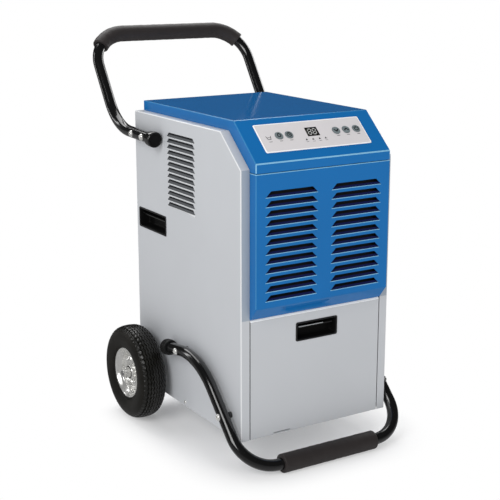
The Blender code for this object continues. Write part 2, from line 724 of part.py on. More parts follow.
def push_handle_and_foot():
    handle = bent_tube("handle_tube", HANDLE_END, HANDLE_ELBOW, HANDLE_BAR, HANDLE_BENDS,
                       HANDLE_BOLTS)
    middle = len(handle) // 2
    half_bends = handle[middle - 4:middle + 4]
    foam_grip("handle_grip", half_bends, HANDLE_GRIP_RADIUS)
    bent_tube("foot_frame", FOOT_END, FOOT_ELBOW, FOOT_BAR, FOOT_BENDS, FOOT_BOLTS)
    ends = [at(*FOOT_BAR, -FOOT_GRIP_HALF), at(*FOOT_BAR, FOOT_GRIP_HALF)]
    foam_grip("foot_grip", ends, FOOT_GRIP_RADIUS)
    for side, word in ((-1, "left"), (1, "right")):
        end_cap(f"handle_cap_{word}", HANDLE_END, HANDLE_ELBOW, side)
        end_cap(f"foot_cap_{word}", FOOT_END, FOOT_ELBOW, side)
        for label, bolts in (("handle", HANDLE_BOLTS), ("foot", FOOT_BOLTS)):
            for number, (y, z) in enumerate(bolts, start=1):
                bolt(f"{label}_bolt_{word}_{number}", y, z, side)


# ---------------------------------------------------------------- wheels
def tyre_profile():
    """A pneumatic tyre's section: round outside, hollow, open at the rim."""
    middle = (TYRE_RADIUS + RIM_BARREL + 0.004) / 2
    tall = TYRE_RADIUS - middle
    outer, inner = [], []
    points = 8
    for step in range(points + 1):
        turn = math.radians(-128) * (2 * step / points - 1)
        across = math.copysign(abs(math.sin(turn)) ** 0.8, math.sin(turn))
        up = math.copysign(abs(math.cos(turn)) ** 0.8, math.cos(turn))
        outer.append((middle + tall * up, TYRE_HALF_WIDTH * across))
        inner.append((middle + (tall - TYRE_WALL) * up,
                      (TYRE_HALF_WIDTH - TYRE_WALL) * across))
    return outer + inner[::-1]


def rim_profile():
    """A pressed rim: two flanges, a barrel, a web and a hub tube."""
    barrel_in = RIM_BARREL - 0.002
    wide = RIM_HALF_WIDTH
    web = 0.0015
    bore = AXLE_RADIUS + 0.0004
    return [(RIM_RADIUS, wide), (RIM_RADIUS, wide - 0.002), (RIM_BARREL, wide - 0.006),
            (RIM_BARREL, -wide + 0.006), (RIM_RADIUS, -wide + 0.002), (RIM_RADIUS, -wide),
            (barrel_in, -wide + 0.003), (barrel_in, -web), (HUB_RADIUS, -web),
            (HUB_RADIUS, -HUB_HALF), (bore, -HUB_HALF), (bore, HUB_HALF),
            (HUB_RADIUS, HUB_HALF), (HUB_RADIUS, web), (barrel_in, web),
            (barrel_in, wide - 0.003)]


def wheel(word, side):
    """A pneumatic tyre on a steel rim, held on the axle by a nut."""
    hub = at(WHEEL_Y, TYRE_RADIUS, side * WHEEL_X)
    turned(f"{word}_tyre", tyre_profile(), RUBBER, hub, ALONG_X, steps=28, closed=True)
    turned(f"{word}_rim", rim_profile(), ZINC, hub, ALONG_X, steps=ROUND, closed=True)
    seat = at(WHEEL_Y, TYRE_RADIUS, side * (WHEEL_X + HUB_HALF + 0.0005 + NUT_THICK / 2))
    nut = put(f"{word}_axle_nut", cylinder_mesh(NUT_RADIUS, NUT_THICK, 6), ZINC, seat, ALONG_X)
    combine(nut, [(cylinder_mesh(AXLE_RADIUS + 0.0005, 0.03, 16), placed(seat, ALONG_X))])


def axle():
    mesh = smooth(cylinder_mesh(AXLE_RADIUS, 2 * AXLE_HALF, 16))
    rod = put("axle", mesh, STEEL, at(WHEEL_Y, TYRE_RADIUS), ALONG_X)
    round_edges(rod, 0.001)


def axle_bracket(word, side):
    """An angle plate on the base pan that carries the axle."""
    outer = CABINET_HALF - SHEET - 2 * GAP - PAN_SHEET - 2 * GAP
    base = BOTTOM + 2 * PAN_SHEET + GAP
    steel = BRACKET_STEEL
    points = [(outer, base), (outer, AXLE_BRACKET_TOP), (outer - steel, AXLE_BRACKET_TOP),
              (outer - steel, base + steel), (outer - 0.022, base + steel),
              (outer - 0.022, base)]
    mesh = outline_mesh([(side * x, z) for x, z in points], AXLE_BRACKET_WIDTH)
    mesh.transform(Matrix.Rotation(math.pi / 2, 4, "X"))
    plate = put(f"{word}_axle_bracket", mesh, STEEL, at(WHEEL_Y, 0))
    hole = cylinder_mesh(AXLE_RADIUS + 0.0005, 0.03)
    combine(plate, [(hole, placed(at(WHEEL_Y, TYRE_RADIUS, side * outer), ALONG_X))])


# ---------------------------------------------------------------- refrigeration and fan
def compressor():
    """A welded steel can on a foot plate."""
    base = BOTTOM + 2 * PAN_SHEET + GAP
    can = [(0, COMPRESSOR_TOP), (COMPRESSOR_RADIUS * 0.55, COMPRESSOR_TOP - 0.006),
           (COMPRESSOR_RADIUS * 0.9, COMPRESSOR_TOP - 0.025),
           (COMPRESSOR_RADIUS, COMPRESSOR_TOP - 0.045), (COMPRESSOR_RADIUS, base + 0.035),
           (COMPRESSOR_RADIUS * 0.85, base + 0.012), (0, base + 0.006)]
    made = turned("compressor", can, BLACK_PLASTIC, at(COMPRESSOR_AT[1], 0, COMPRESSOR_AT[0]),
                  steps=20)
    plate = box_mesh(COMPRESSOR_FOOT)
    spot = at(COMPRESSOR_AT[1], base + COMPRESSOR_FOOT[2] / 2, COMPRESSOR_AT[0])
    combine(made, [(plate, placed(spot))], "UNION")


def coil(name, y_range):
    """A finned coil: the fin pack, with the tube bends standing out at each end."""
    low = at(y_range[0], DECK_Z + 0.0045, -COIL_HALF)
    high = at(y_range[1], COIL_TOP, COIL_HALF)
    pack = box(name, low, high, COIL_METAL)
    bends = []
    rows = 6
    height = high.z - low.z
    for row in range(rows):
        z = low.z + height * (row + 0.5) / rows
        bend = box_mesh((2 * COIL_HALF + 0.024, 0.009, 0.034))
        bends.append((bend, placed((0, (low.y + high.y) / 2, z))))
    combine(pack, bends, "UNION")


def drip_tray():
    """The tray under the coils, with a spout over the tank."""
    floor = DECK_Z + DECK_SHEET + GAP
    tray = open_box("drip_tray", at(TRAY_Y[0], floor, -TRAY_HALF),
                    at(TRAY_Y[1], floor + TRAY_HEIGHT, TRAY_HALF), [(0, 0, 1)], 0.002,
                    BLACK_PLASTIC)
    spout = at(SPOUT_Y, floor - 0.012)
    combine(tray, [(cylinder_mesh(SPOUT_RADIUS, 0.026), placed(spout))], "UNION")
    combine(tray, [(cylinder_mesh(SPOUT_RADIUS - 0.003, 0.080), placed(spout))])


def fan_shroud():
    """A plate behind the coils with a round collar that the fan turns in."""
    floor = DECK_Z + DECK_SHEET + GAP
    plate = box("fan_shroud", at(SHROUD_Y, floor, -SHROUD_HALF),
                at(SHROUD_Y + 0.002, SHROUD_TOP, SHROUD_HALF), GREY_PAINT)
    collar = cylinder_mesh(FAN_RADIUS + 0.007, 0.040, ROUND)
    bore = cylinder_mesh(FAN_RADIUS + 0.004, 0.120, ROUND)
    combine(plate, [(collar, placed(at(SHROUD_Y + 0.020, FAN_Z), ALONG_Y))], "UNION")
    combine(plate, [(bore, placed(at(SHROUD_Y + 0.020, FAN_Z), ALONG_Y))])


def fan_impeller():
    """Five pitched blades on a hub, which turns about the motor's shaft."""
    centre = at(FAN_Y, FAN_Z)
    made = put("fan_impeller", cylinder_mesh(FAN_HUB, 0.030, 20), BLACK_PLASTIC,
               centre, ALONG_Y)
    blades = []
    root, tip = FAN_HUB - 0.004, FAN_RADIUS * 0.96      # the corners still clear the collar
    for number in range(FAN_BLADES):
        blade = box_mesh((0.070, 0.0025, tip - root))
        middle = (tip + root) / 2
        pitched = Matrix.Translation((0, 0, middle)) @ Matrix.Rotation(math.radians(24), 4, "Z")
        turn = Matrix.Rotation(math.tau * number / FAN_BLADES, 4, "Y")
        blades.append((blade, Matrix.Translation(centre) @ turn @ pitched))
    combine(made, blades, "UNION")
    combine(made, [(cylinder_mesh(0.0055, 0.080), placed(centre, ALONG_Y))])


def fan_motor():
    """The motor can, with its shaft through the hub."""
    length = MOTOR_Y[1] - MOTOR_Y[0]
    nose = length + MOTOR_Y[0] - FAN_Y + 0.018
    profile = [(0, nose), (0.005, nose), (0.005, length), (MOTOR_RADIUS * 0.8, length),
               (MOTOR_RADIUS, length - 0.010), (MOTOR_RADIUS, 0), (0, 0)]
    turned("fan_motor", profile, STEEL, at(MOTOR_Y[1], FAN_Z), (math.pi / 2, 0, 0), steps=20)


def motor_bracket():
    """A flat strap bent round the motor and fixed to the shroud."""
    near, far = SHROUD_Y + 0.002 + GAP, MOTOR_Y[1] + GAP
    reach, steel = MOTOR_STRAP_HALF, BRACKET_STEEL
    points = [(-reach, near), (-reach + steel, near), (-reach + steel, far), (reach - steel, far),
              (reach - steel, near), (reach, near), (reach, far + steel), (-reach, far + steel)]
    put("motor_bracket", outline_mesh(points, 0.030), STEEL, at(0, FAN_Z))


def pipe(name, corners, radii):
    """A copper line, bent like the tubes."""
    mesh = tube_mesh(rounded_path(corners, radii, steps=4), PIPE_RADIUS, sides=8)
    put(name, mesh, COPPER)


def refrigerant_pipes():
    """Both lines rise beside the coils, through the opening in the deck."""
    x, y = COMPRESSOR_AT
    outer, inner = -0.204, -0.190
    reach = -COIL_HALF - 0.0123
    top = COMPRESSOR_TOP + 0.0015
    pipe("discharge_pipe",
         [at(y - 0.030, top, x), at(y - 0.030, 0.350, x), at(0.240, 0.350, outer),
          at(0.240, 0.460, outer), at(0.120, 0.460, outer), at(0.120, 0.460, reach)],
         [0.020, 0.020, 0.020, 0.012])
    pipe("suction_pipe",
         [at(y + 0.030, top, x), at(y + 0.030, 0.372, x), at(0.170, 0.372, inner),
          at(0.170, 0.700, inner), at(0.072, 0.700, inner), at(0.072, 0.700, reach)],
         [0.016, 0.016, 0.020, 0.006])


def electrical_box():
    """The box for the capacitor and the terminals, on the base pan."""
    low = at(BOX_LOW[0], BOTTOM + 2 * PAN_SHEET + GAP, BOX_LOW[1])
    high = at(BOX_HIGH[0], BOX_TOP, BOX_HIGH[1])
    box("electrical_box", low, high, GREY_PAINT, 0.003)


def rear_fittings():
    """The mains cord's gland and the drain outlet, both on the rear panel."""
    gland = [(0.0075, 0.020), (0.0095, 0.012), (0.0125, 0.010), (0.0125, 0.002), (0.015, 0.002),
             (0.015, 0), (0.0045, 0), (0.0045, 0.020)]
    rear = CABINET_DEPTH + GAP
    turned("cord_gland", gland, BLACK_PLASTIC, at(rear, GLAND_AT[1], GLAND_AT[0]),
           ALONG_Y, steps=SMALL_ROUND, closed=True)
    outlet = [(0.009, 0.028), (0.009, 0.003), (0.017, 0.003), (0.017, 0), (0.0065, 0),
              (0.0065, 0.028)]
    turned("drain_outlet", outlet, BLACK_PLASTIC, at(rear, OUTLET_AT[1], OUTLET_AT[0]),
           ALONG_Y, steps=SMALL_ROUND, closed=True)


# ---------------------------------------------------------------- assembly
def build():
    base_pan()
    for side, word in ((-1, "left"), (1, "right")):
        side_panel(f"{word}_side_panel", side)
        recessed_cup(f"{word}_grip_cup", GRIP_SIZE, GRIP_DEPTH, BLACK_PLASTIC,
                     at(GRIP_Y, GRIP_Z, side * (CABINET_HALF + 0.0008 + GAP)),
                     (math.pi / 2, 0, side * math.pi / 2))
        axle_bracket(word, side)
        wheel(word, side)
    rear_panel()
    mid_deck()
    frame = control_frame()
    top_cover(frame)
    front_grille()
    air_filter()
    tank_door()
    water_tank()
    float_arm()
    control_panel(frame)
    push_handle_and_foot()
    axle()
    compressor()
    coil("evaporator", EVAPORATOR_Y)
    coil("condenser", CONDENSER_Y)
    drip_tray()
    fan_shroud()
    fan_impeller()
    fan_motor()
    motor_bracket()
    refrigerant_pipes()
    electrical_box()
    rear_fittings()


build()
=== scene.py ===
"""The looks of the commercial dehumidifier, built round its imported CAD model.

Metres, +Z up, the front faces -Y and +X is the right side seen from the front.
"""

from math import acos, cos, pi, radians, sin, tan, tau

import bmesh
import bpy
from mathutils import Matrix, Vector


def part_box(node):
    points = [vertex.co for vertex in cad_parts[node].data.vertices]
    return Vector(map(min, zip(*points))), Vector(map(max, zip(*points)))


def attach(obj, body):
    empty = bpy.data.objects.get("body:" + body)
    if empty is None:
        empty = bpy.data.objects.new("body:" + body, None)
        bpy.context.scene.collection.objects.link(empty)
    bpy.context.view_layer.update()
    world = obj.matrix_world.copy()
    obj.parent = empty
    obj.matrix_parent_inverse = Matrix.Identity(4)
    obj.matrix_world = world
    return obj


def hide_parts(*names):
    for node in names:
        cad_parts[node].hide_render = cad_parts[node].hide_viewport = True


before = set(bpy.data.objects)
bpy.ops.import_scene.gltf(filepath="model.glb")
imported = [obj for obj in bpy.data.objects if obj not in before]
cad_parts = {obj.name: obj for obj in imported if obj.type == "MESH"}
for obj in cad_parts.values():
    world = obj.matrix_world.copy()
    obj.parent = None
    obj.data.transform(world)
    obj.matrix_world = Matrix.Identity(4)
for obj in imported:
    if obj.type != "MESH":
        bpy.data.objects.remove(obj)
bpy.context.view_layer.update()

# ---- dimensions of the CAD model
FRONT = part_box("tank_door")[0].y          # Y of the front plane; y below is measured from here
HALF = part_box("right_side_panel")[1].x
DEPTH = 0.551
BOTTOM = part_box("tank_door")[0].z
GREY_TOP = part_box("right_side_panel")[1].z
CHAMFER_Y, CHAMFER_Z = 0.0952, 0.7583
SHEET = 0.0012
SKIN = SHEET * 0.8                        # thickness of the visible skins
FLANGE = 0.0244
FOLD = 0.0022                             # outer radius of a folded edge
RING = 0.004                              # flat strip beside a fold, so that it shades evenly
NEAR = 0.003                              # the faces of a fold lie within this of its edge
GAP = 0.0003                              # clearance between neighbouring skins

BLUE_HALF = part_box("top_cover")[1].x
BLUE_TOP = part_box("top_cover")[1].z
PROUD = 0.0275
BLUE_REAR = 0.548
SLOPE_TOP_Y, SLOPE_LOW_Z = 0.0739, 0.7756
LIP_Z = 0.752
SKIRT = 0.006
GRILLE_TOP, GRILLE_FOLD, GRILLE_BOTTOM = 0.751, 0.4218, 0.3886

WIDE = dict(pitch=0.0232, width=0.151, height=0.0152)
LOUVRES = dict(rows=12, lowest=0.4375, **WIDE)
REAR_LOUVRES = dict(rows=10, lowest=0.48, **WIDE)
SIDE_LOUVRES = dict(rows=13, pitch=0.0152, lowest=0.61, width=0.15, height=0.0118)
COLUMN = 0.02 + WIDE["width"] / 2         # centre of each column of wide louvres
SIDE_LOUVRE_Y = 0.295
SIDE_SCREW = (0.288, 0.0865)
REAR_SCREW_X, REAR_SCREW_Z = 0.205, (0.1, 0.46, 0.815)

DOOR_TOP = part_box("tank_door")[1].z
DOOR_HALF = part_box("tank_door")[1].x
DOOR_DEPTH = 0.012
PULL_Z, PULL_SIZE, PULL_DEPTH = 0.3358, (0.126, 0.0495), 0.0215
GRIP_AT, GRIP_SIZE, GRIP_DEPTH = (0.4585, 0.5505), (0.157, 0.055), 0.0275
BEZEL = 0.004

TUBE_RADIUS = 0.015
TUBE_X = 0.245
HANDLE = ((0.3945, 0.7822), (0.6176, 0.789), (0.78, 1.03))
HANDLE_BENDS = (0.15, 0.099)
HANDLE_GRIP_RADIUS = 0.0225
FOOT = ((0.345, 0.231), (0.17, 0.256), (-0.06, 0.0242))
FOOT_BENDS = (0.19, 0.094)
FOOT_GRIP_RADIUS, FOOT_GRIP_HALF = 0.0242, 0.142
HANDLE_BOLTS = ((0.4435, 0.7837), (0.5039, 0.7855))
FOOT_BOLTS = ((0.2712, 0.2415), (0.0488, 0.134))
CAP_RADIUS, CAP_LENGTH, CAP_PROUD = 0.0212, 0.026, 0.0038
BEND_STEPS = 24                           # steps round each bend of a tube

WHEEL_Y, WHEEL_X = 0.472, 0.279
TYRE_RADIUS, TYRE_HALF = 0.1295, 0.038
RIM_RADIUS, RIM_HALF = 0.0695, 0.0275
LOBES, BOLT_CIRCLE = 5, 0.035
AXLE_HOLE = 0.0088
FAN_Z, FAN_RADIUS, FAN_HUB, FAN_BLADES = 0.572, 0.14, 0.032, 5

PANEL_SIZE, PANEL_DOWN, PANEL_THICK = (0.31, 0.087), 0.0635, 0.0018
DISPLAY_SIZE, DISPLAY_UP = (0.035, 0.027), 0.008
BUTTON_RADIUS, BUTTON_UP = 0.0108, 0.0043
DIGITS_X, DIGIT_HEIGHT = (-0.0072, 0.0066), 0.0166
LAMPS_X, TANK_X = (-0.027, -0.008, 0.011, 0.029), -0.1282
BUTTONS = {"mode": -0.098, "timer": -0.069, "down": 0.07, "up": 0.1, "power": 0.131}

MERGE = 0.00002                           # points closer than this are one
SIDES = ((-1, "left"), (1, "right"))


def at(y, z, x=0):
    return Vector((x, FRONT + y, z))


def mm(*points):
    """Points given in millimetres."""
    return [tuple(number / 1000 for number in point) for point in points]


def configure(thing, **settings):
    for key, value in settings.items():
        setattr(thing, key, value)


# ---- materials
def feed(tree, node, inputs):
    """Link each named input to a socket, or set its value."""
    for key, value in inputs.items():
        if isinstance(value, bpy.types.NodeSocket):
            tree.links.new(value, node.inputs[key])
        else:
            node.inputs[key].default_value = value


def add(tree, kind, output, inputs=None, **settings):
    """One output of a new shader node with these settings and inputs."""
    node = tree.nodes.new("ShaderNode" + kind)
    configure(node, **settings)
    feed(tree, node, inputs or {})
    return node.outputs[output]


def two_tone(tree, factor, first, second):
    inputs = {"Factor": factor, "A": (*first, 1), "B": (*second, 1)}
    return add(tree, "Mix", "Result", inputs, data_type="RGBA")


def bumps(tree, height, strength, depth):
    inputs = {"Height": height, "Strength": strength, "Distance": depth}
    return add(tree, "Bump", "Normal", inputs)


def new_material(name):
    """A Principled material, its node tree, shader and place in metres."""
    made = bpy.data.materials.new(name)
    made.use_nodes = True
    tree = made.node_tree
    return made, tree, tree.nodes["Principled BSDF"], add(tree, "TexCoord", "Object")


def material(name, colour, roughness, metallic=0, coat=0, tone=0.06, tone_scale=7,
             rough_spread=0.06, grain=None, tint=None, specular=0.5):
    """A material whose colour and roughness vary by noise; tone is how far the colour does.
    grain is the strength, scale and depth of fine bumps."""
    made, tree, shader, place = new_material(name)
    noise = add(tree, "TexNoise", "Fac", {"Vector": place, "Scale": tone_scale, "Detail": 5})
    light = [min(1, c * (1 + tone)) for c in colour]
    dark = tint or [c * (1 - 2 * tone) for c in colour]
    spread = {"Value": noise, "To Min": max(0.02, roughness - rough_spread),
              "To Max": min(1, roughness + rough_spread)}
    feed(tree, shader, {"Base Color": two_tone(tree, noise, light, dark),
                        "Roughness": add(tree, "MapRange", "Result", spread),
                        "Metallic": metallic, "Specular IOR Level": specular,
                        "Coat Weight": coat, "Coat Roughness": 0.12})
    if grain:
        strength, scale, depth = grain
        fine = add(tree, "TexNoise", "Fac", {"Vector": place, "Scale": scale, "Detail": 3})
        feed(tree, shader, {"Normal": bumps(tree, fine, strength, depth)})
    return made


def banded(name, light, dark, roughness, metallic, scales, depth):
    """A material with fine parallel bands along one or two axes, such as fins or mesh."""
    made, tree, shader, place = new_material(name)
    height = None
    for axis, scale in scales.items():
        inputs = {"Vector": place, "Scale": scale, "Distortion": 0.15}
        wave = add(tree, "TexWave", "Fac", inputs, bands_direction=axis)
        if height is None:
            height = wave
        else:
            height = add(tree, "Math", "Value", {0: height, 1: wave}, operation="MAXIMUM")
    feed(tree, shader, {"Base Color": two_tone(tree, height, dark, light),
                        "Roughness": roughness, "Metallic": metallic,
                        "Normal": bumps(tree, height, 0.8, depth)})
    return made


GREY = material("grey_paint", (0.515, 0.53, 0.554), 0.36, coat=0.15, tone=0.02,
    grain=(0.25, 420, 0.00012))
# painted highlight: a lighter grey on the folded edges and the louvres' lips
GREY_HIGHLIGHT = material("grey_paint_highlight", (0.74, 0.75, 0.76), 0.3, tone=0.03)
# painted shade and painted blue reflection: a darker, bluish grey for the flange beside the blue
# parts
GREY_SHADE = material("grey_paint_shade_by_blue", (0.33, 0.375, 0.43), 0.36, coat=0.15, tone=0.02)
# painted shade: a dark copy of the grey paint for the louvres' tongues
GREY_IN_SHADE = material("grey_paint_in_shade", (0.082, 0.088, 0.096), 0.6, tone=0.08)
BLUE = material("blue_paint", (0.0085, 0.139, 0.4), 0.11, tone=0.04, specular=0.38,
    rough_spread=0.03, grain=(0.1, 380, 0.00008))
# painted highlight, soft: a lighter blue on the folds of the hood and grille
BLUE_SOFT_HIGHLIGHT = material("blue_paint_fold_highlight", (0.035, 0.205, 0.44), 0.2, tone=0.04)
# painted highlight: a pale blue on the bright fold lines and the louvres' lips
BLUE_HIGHLIGHT = material("blue_paint_highlight", (0.22, 0.48, 0.68), 0.22, tone=0.05)
# painted shade: a dark copy of the blue paint for the grille louvres' tongues
BLUE_IN_SHADE = material("blue_paint_in_shade", (0.006, 0.011, 0.075), 0.6, tone=0.08, specular=0.2)
SHADE = material("shaded_edge", (0.014, 0.015, 0.017), 0.7, tone=0.1, specular=0.2)
GLOSS_BLACK = material("black_gloss", (0.006, 0.006, 0.0062), 0.15, coat=0.4, tone=0.15,
    rough_spread=0.03)
# painted highlight: a light grey line along part of the door pull's ledge
PULL_HIGHLIGHT = material("pull_lip_highlight", (0.42, 0.44, 0.45), 0.3, tone=0.05)
ENAMEL = material("black_enamel", (0.016, 0.016, 0.017), 0.35, coat=0.3, tone=0.2,
    grain=(0.3, 260, 0.0002))
PLASTIC = material("black_plastic", (0.0125, 0.0125, 0.0132), 0.36, tone=0.15,
    grain=(0.3, 1500, 0.0001), specular=0.3)
FOAM = material("foam", (0.029, 0.0245, 0.024), 0.52, tone=0.1, tone_scale=45,
    grain=(0.4, 1100, 0.0003), specular=0.32)
RUBBER = material("cap_rubber", (0.008, 0.008, 0.008), 0.42, tone=0.2, specular=0.35,
    grain=(0.3, 700, 0.0002))
DULL_BLACK = material("cap_face", (0.004, 0.004, 0.004), 0.5, tone=0.2, specular=0.15,
    grain=(0.3, 500, 0.0002))
TYRE = material("tyre", (0.013, 0.012, 0.01), 0.42, tone=0.3, tone_scale=24,
    grain=(0.4, 650, 0.0002), specular=0.16)
TREAD = material("tyre_tread", (0.009, 0.0085, 0.007), 0.34, tone=0.3, tone_scale=60,
    grain=(0.4, 420, 0.0003), specular=0.42)
ZINC = material("zinc", (0.9, 0.895, 0.875), 0.26, metallic=0.72, tone_scale=38,
    tint=(0.66, 0.655, 0.635), rough_spread=0.05, grain=(0.04, 240, 0.0002))
STEEL = material("steel", (0.5, 0.5, 0.5), 0.34, metallic=1, tone_scale=50, rough_spread=0.08,
    grain=(0.2, 600, 0.0002))
OVERLAY = material("panel_white", (0.65, 0.625, 0.635), 0.42, tone=0.02, tone_scale=20,
    grain=(0.2, 1800, 0.00005))
# painted highlight: near white on the overlay's bevel and the door's top edge
WHITE_HIGHLIGHT = material("panel_white_highlight", (0.93, 0.93, 0.93), 0.3, tone=0.01)
BUTTON = material("button_grey", (0.16, 0.195, 0.205), 0.5, tone=0.08, tone_scale=90,
    grain=(0.3, 1500, 0.0001), specular=0.3)
PRINT = material("dark_print", (0.01, 0.01, 0.012), 0.6, tone=0.15, tone_scale=120, specular=0.15)
GLASS = material("display_glass", (0.022, 0.021, 0.019), 0.14, coat=0.3, tone=0.2, tone_scale=60,
    specular=0.3)
SEGMENT = material("display_segments", (0.55, 0.56, 0.55), 0.4, tone=0.1, tone_scale=200)
BOARD = material("board_green", (0.02, 0.13, 0.05), 0.45, tone=0.5, tone_scale=260,
    grain=(0.5, 420, 0.0002))
COPPER = material("copper", (0.66, 0.31, 0.17), 0.3, metallic=1, tone_scale=60,
    tint=(0.42, 0.18, 0.1), grain=(0.2, 300, 0.0002))
TANK = material("tank_plastic", (0.62, 0.65, 0.67), 0.42, tone=0.04, tone_scale=12,
    grain=(0.3, 900, 0.0001))
FINS = banded("coil_aluminium", (0.72, 0.73, 0.74), (0.1, 0.1, 0.11), 0.38, 1, {"X": 157},
    0.0006)
FILTER = banded("filter_media", (0.01, 0.0103, 0.011), (0.004, 0.004, 0.0045), 0.85, 0,
    {"X": 105, "Z": 105}, 0.0005)


# ---- mesh helpers
def linked(name, data):
    """A new object in the scene."""
    made = bpy.data.objects.new(name, data)
    bpy.context.scene.collection.objects.link(made)
    return made


def mesh_object(name, bm, mats):
    mesh = bpy.data.meshes.new(name)
    bm.to_mesh(mesh)
    bm.free()
    for mat in mats:
        mesh.materials.append(mat)
    return linked(name, mesh)


def make(name, bm, mats, replaces, body="cabinet", wall=0, angle=32):
    """Turn a bmesh in the row frame into a finished piece on a body."""
    piece = mesh_object(name, bm, mats)
    if wall:
        sheet = piece.modifiers.new("wall", "SOLIDIFY")
        configure(sheet, thickness=wall, offset=-1, use_even_offset=True)
        view = bpy.context.evaluated_depsgraph_get()
        view.update()
        solid = bpy.data.meshes.new_from_object(piece.evaluated_get(view))
        piece.modifiers.clear()
        piece.data = solid
    piece.data.shade_smooth()
    piece.data.set_sharp_from_angle(angle=radians(angle))
    configure(piece.modifiers.new("even", "WEIGHTED_NORMAL"), keep_sharp=True, weight=80)
    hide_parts(*replaces)
    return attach(piece, body)


def dress(node, mat, edge):
    """A CAD node that stays: its own material and slightly rounded edges."""
    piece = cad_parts[node]
    piece.data.materials.clear()
    piece.data.materials.append(mat)
    if edge:
        configure(piece.modifiers.new("weld", "WELD"), merge_threshold=0.00001)
        configure(piece.modifiers.new("soft_edges", "BEVEL"), width=edge, segments=2,
                  limit_method="ANGLE", angle_limit=radians(40), harden_normals=True)


def grid(bm, rows, closed=False, wrap=False, index=0, bands=None):
    """Quads between rows of points. closed joins each row's ends, wrap the last row to the first.
    bands may give each band between two rows a material index of its own."""
    made = [[bm.verts.new(p) for p in row] for row in rows]
    pairs = list(zip(made, made[1:]))
    if wrap:
        pairs.append((made[-1], made[0]))
    for band, (low, high) in enumerate(pairs):
        if bands:
            index = bands[band]
        count = len(low)
        for i in range(count if closed else count - 1):
            j = (i + 1) % count
            face = bm.faces.new((low[i], low[j], high[j], high[i]))
            face.material_index = index
    return made


def largest(faces):
    return max(faces, key=lambda f: f.calc_area())


def face_out(bm, direction):
    """Face a skin's sides one way, so that its largest face looks along the direction."""
    outward(bm)
    if largest(bm.faces).normal.dot(Vector(direction)) < 0:
        bmesh.ops.reverse_faces(bm, faces=bm.faces)


def spun(matrix, radius, turn, height):
    """A point at a radius and turn about the matrix's Z."""
    return matrix @ Vector((radius * cos(turn), radius * sin(turn), height))


def circle(radius, sides, x=0, y=0):
    turns = [tau * k / sides for k in range(sides)]
    return [(x + radius * cos(t), y + radius * sin(t)) for t in turns]


def lathe(bm, profile, matrix, sides=48, index=0, ribs=None):
    """Turn (radius, height) points about the matrix's Z. ribs(step, row, radius) may vary it."""
    rows = [[spun(matrix, ribs(i, k, r) if ribs else r, tau * i / sides, h)
             for i in range(sides)] for k, (r, h) in enumerate(profile)]
    made = grid(bm, rows, closed=True, index=index)
    for row, (r, _) in ((made[0], profile[0]), (made[-1], profile[-1])):
        if r < 0.0004:                    # the profile ends at the axis
            bmesh.ops.remove_doubles(bm, verts=row, dist=0.002)


def rounded_rect(width, height, radius, steps=4):
    points = []
    for cx, cy, start in ((1, -1, -90), (1, 1, 0), (-1, 1, 90), (-1, -1, 180)):
        for k in range(steps + 1):
            turn = radians(start + 90 * k / steps)
            points.append((cx * (width / 2 - radius) + radius * cos(turn),
                           cy * (height / 2 - radius) + radius * sin(turn)))
    return points


def inset_loops(size, steps):
    """Rounded outlines and their heights; a step is an inset, a height and a corner radius."""
    w, h = size
    return [(rounded_rect(w - 2 * n, h - 2 * n, r), z) for n, z, r in steps]


def loft(bm, loops, matrix, index=0, cap=True, bands=None):
    """Join outlines, each (points, height), that all have the same number of points."""
    rows = [[matrix @ Vector((x, y, h)) for x, y in points] for points, h in loops]
    made = grid(bm, rows, closed=True, index=index, bands=bands)
    if cap:
        bm.faces.new(made[-1]).material_index = index
    return made


def corner_arc(before, here, after, radius):
    """The centre of a corner's arc, and the arc's ends measured from it."""
    arm_in, arm_out = (before - here).normalized(), (after - here).normalized()
    half = acos(max(-1, min(1, arm_in.dot(arm_out)))) / 2
    reach = radius / tan(half)
    centre = here + (arm_in + arm_out).normalized() * (radius / sin(half))
    return centre, here + arm_in * reach - centre, here + arm_out * reach - centre


def rounded_corners(points, radius, steps=3):
    """A flat outline with each corner replaced by an arc."""
    out = []
    count = len(points)
    for i in range(count):
        corner = [Vector(points[(i + k) % count]) for k in (-1, 0, 1)]
        centre, first, last = corner_arc(*corner, radius)
        for k in range(steps + 1):
            out.append(tuple(centre + first.lerp(last, k / steps).normalized() * radius))
    return out


def fill_ring(bm, ring, holes, normal):
    """Fill a flat face between a ring of vertices and outlines of hole points."""
    edges = []
    for i, v in enumerate(ring):
        other = ring[(i + 1) % len(ring)]
        edges.append(bm.edges.get((v, other)) or bm.edges.new((v, other)))
    for hole in holes:
        verts = [bm.verts.new(p) for p in hole]
        edges += [bm.edges.new((v, verts[(i + 1) % len(verts)])) for i, v in enumerate(verts)]
    made = bmesh.ops.triangle_fill(bm, use_beauty=True, edges=edges, normal=normal)
    for face in made["geom"]:
        if isinstance(face, bmesh.types.BMFace) and face.normal.dot(Vector(normal)) < 0:
            face.normal_flip()


def louvre_outline(place, column, low, width, height):
    corners = [(-width / 2, 0), (width / 2, 0), (width / 2 - height, height),
               (-width / 2 + height, height)]
    outline = rounded_corners(corners, radius=0.0009, steps=2)
    return [place(column + u, low + v, 0) for u, v in outline]


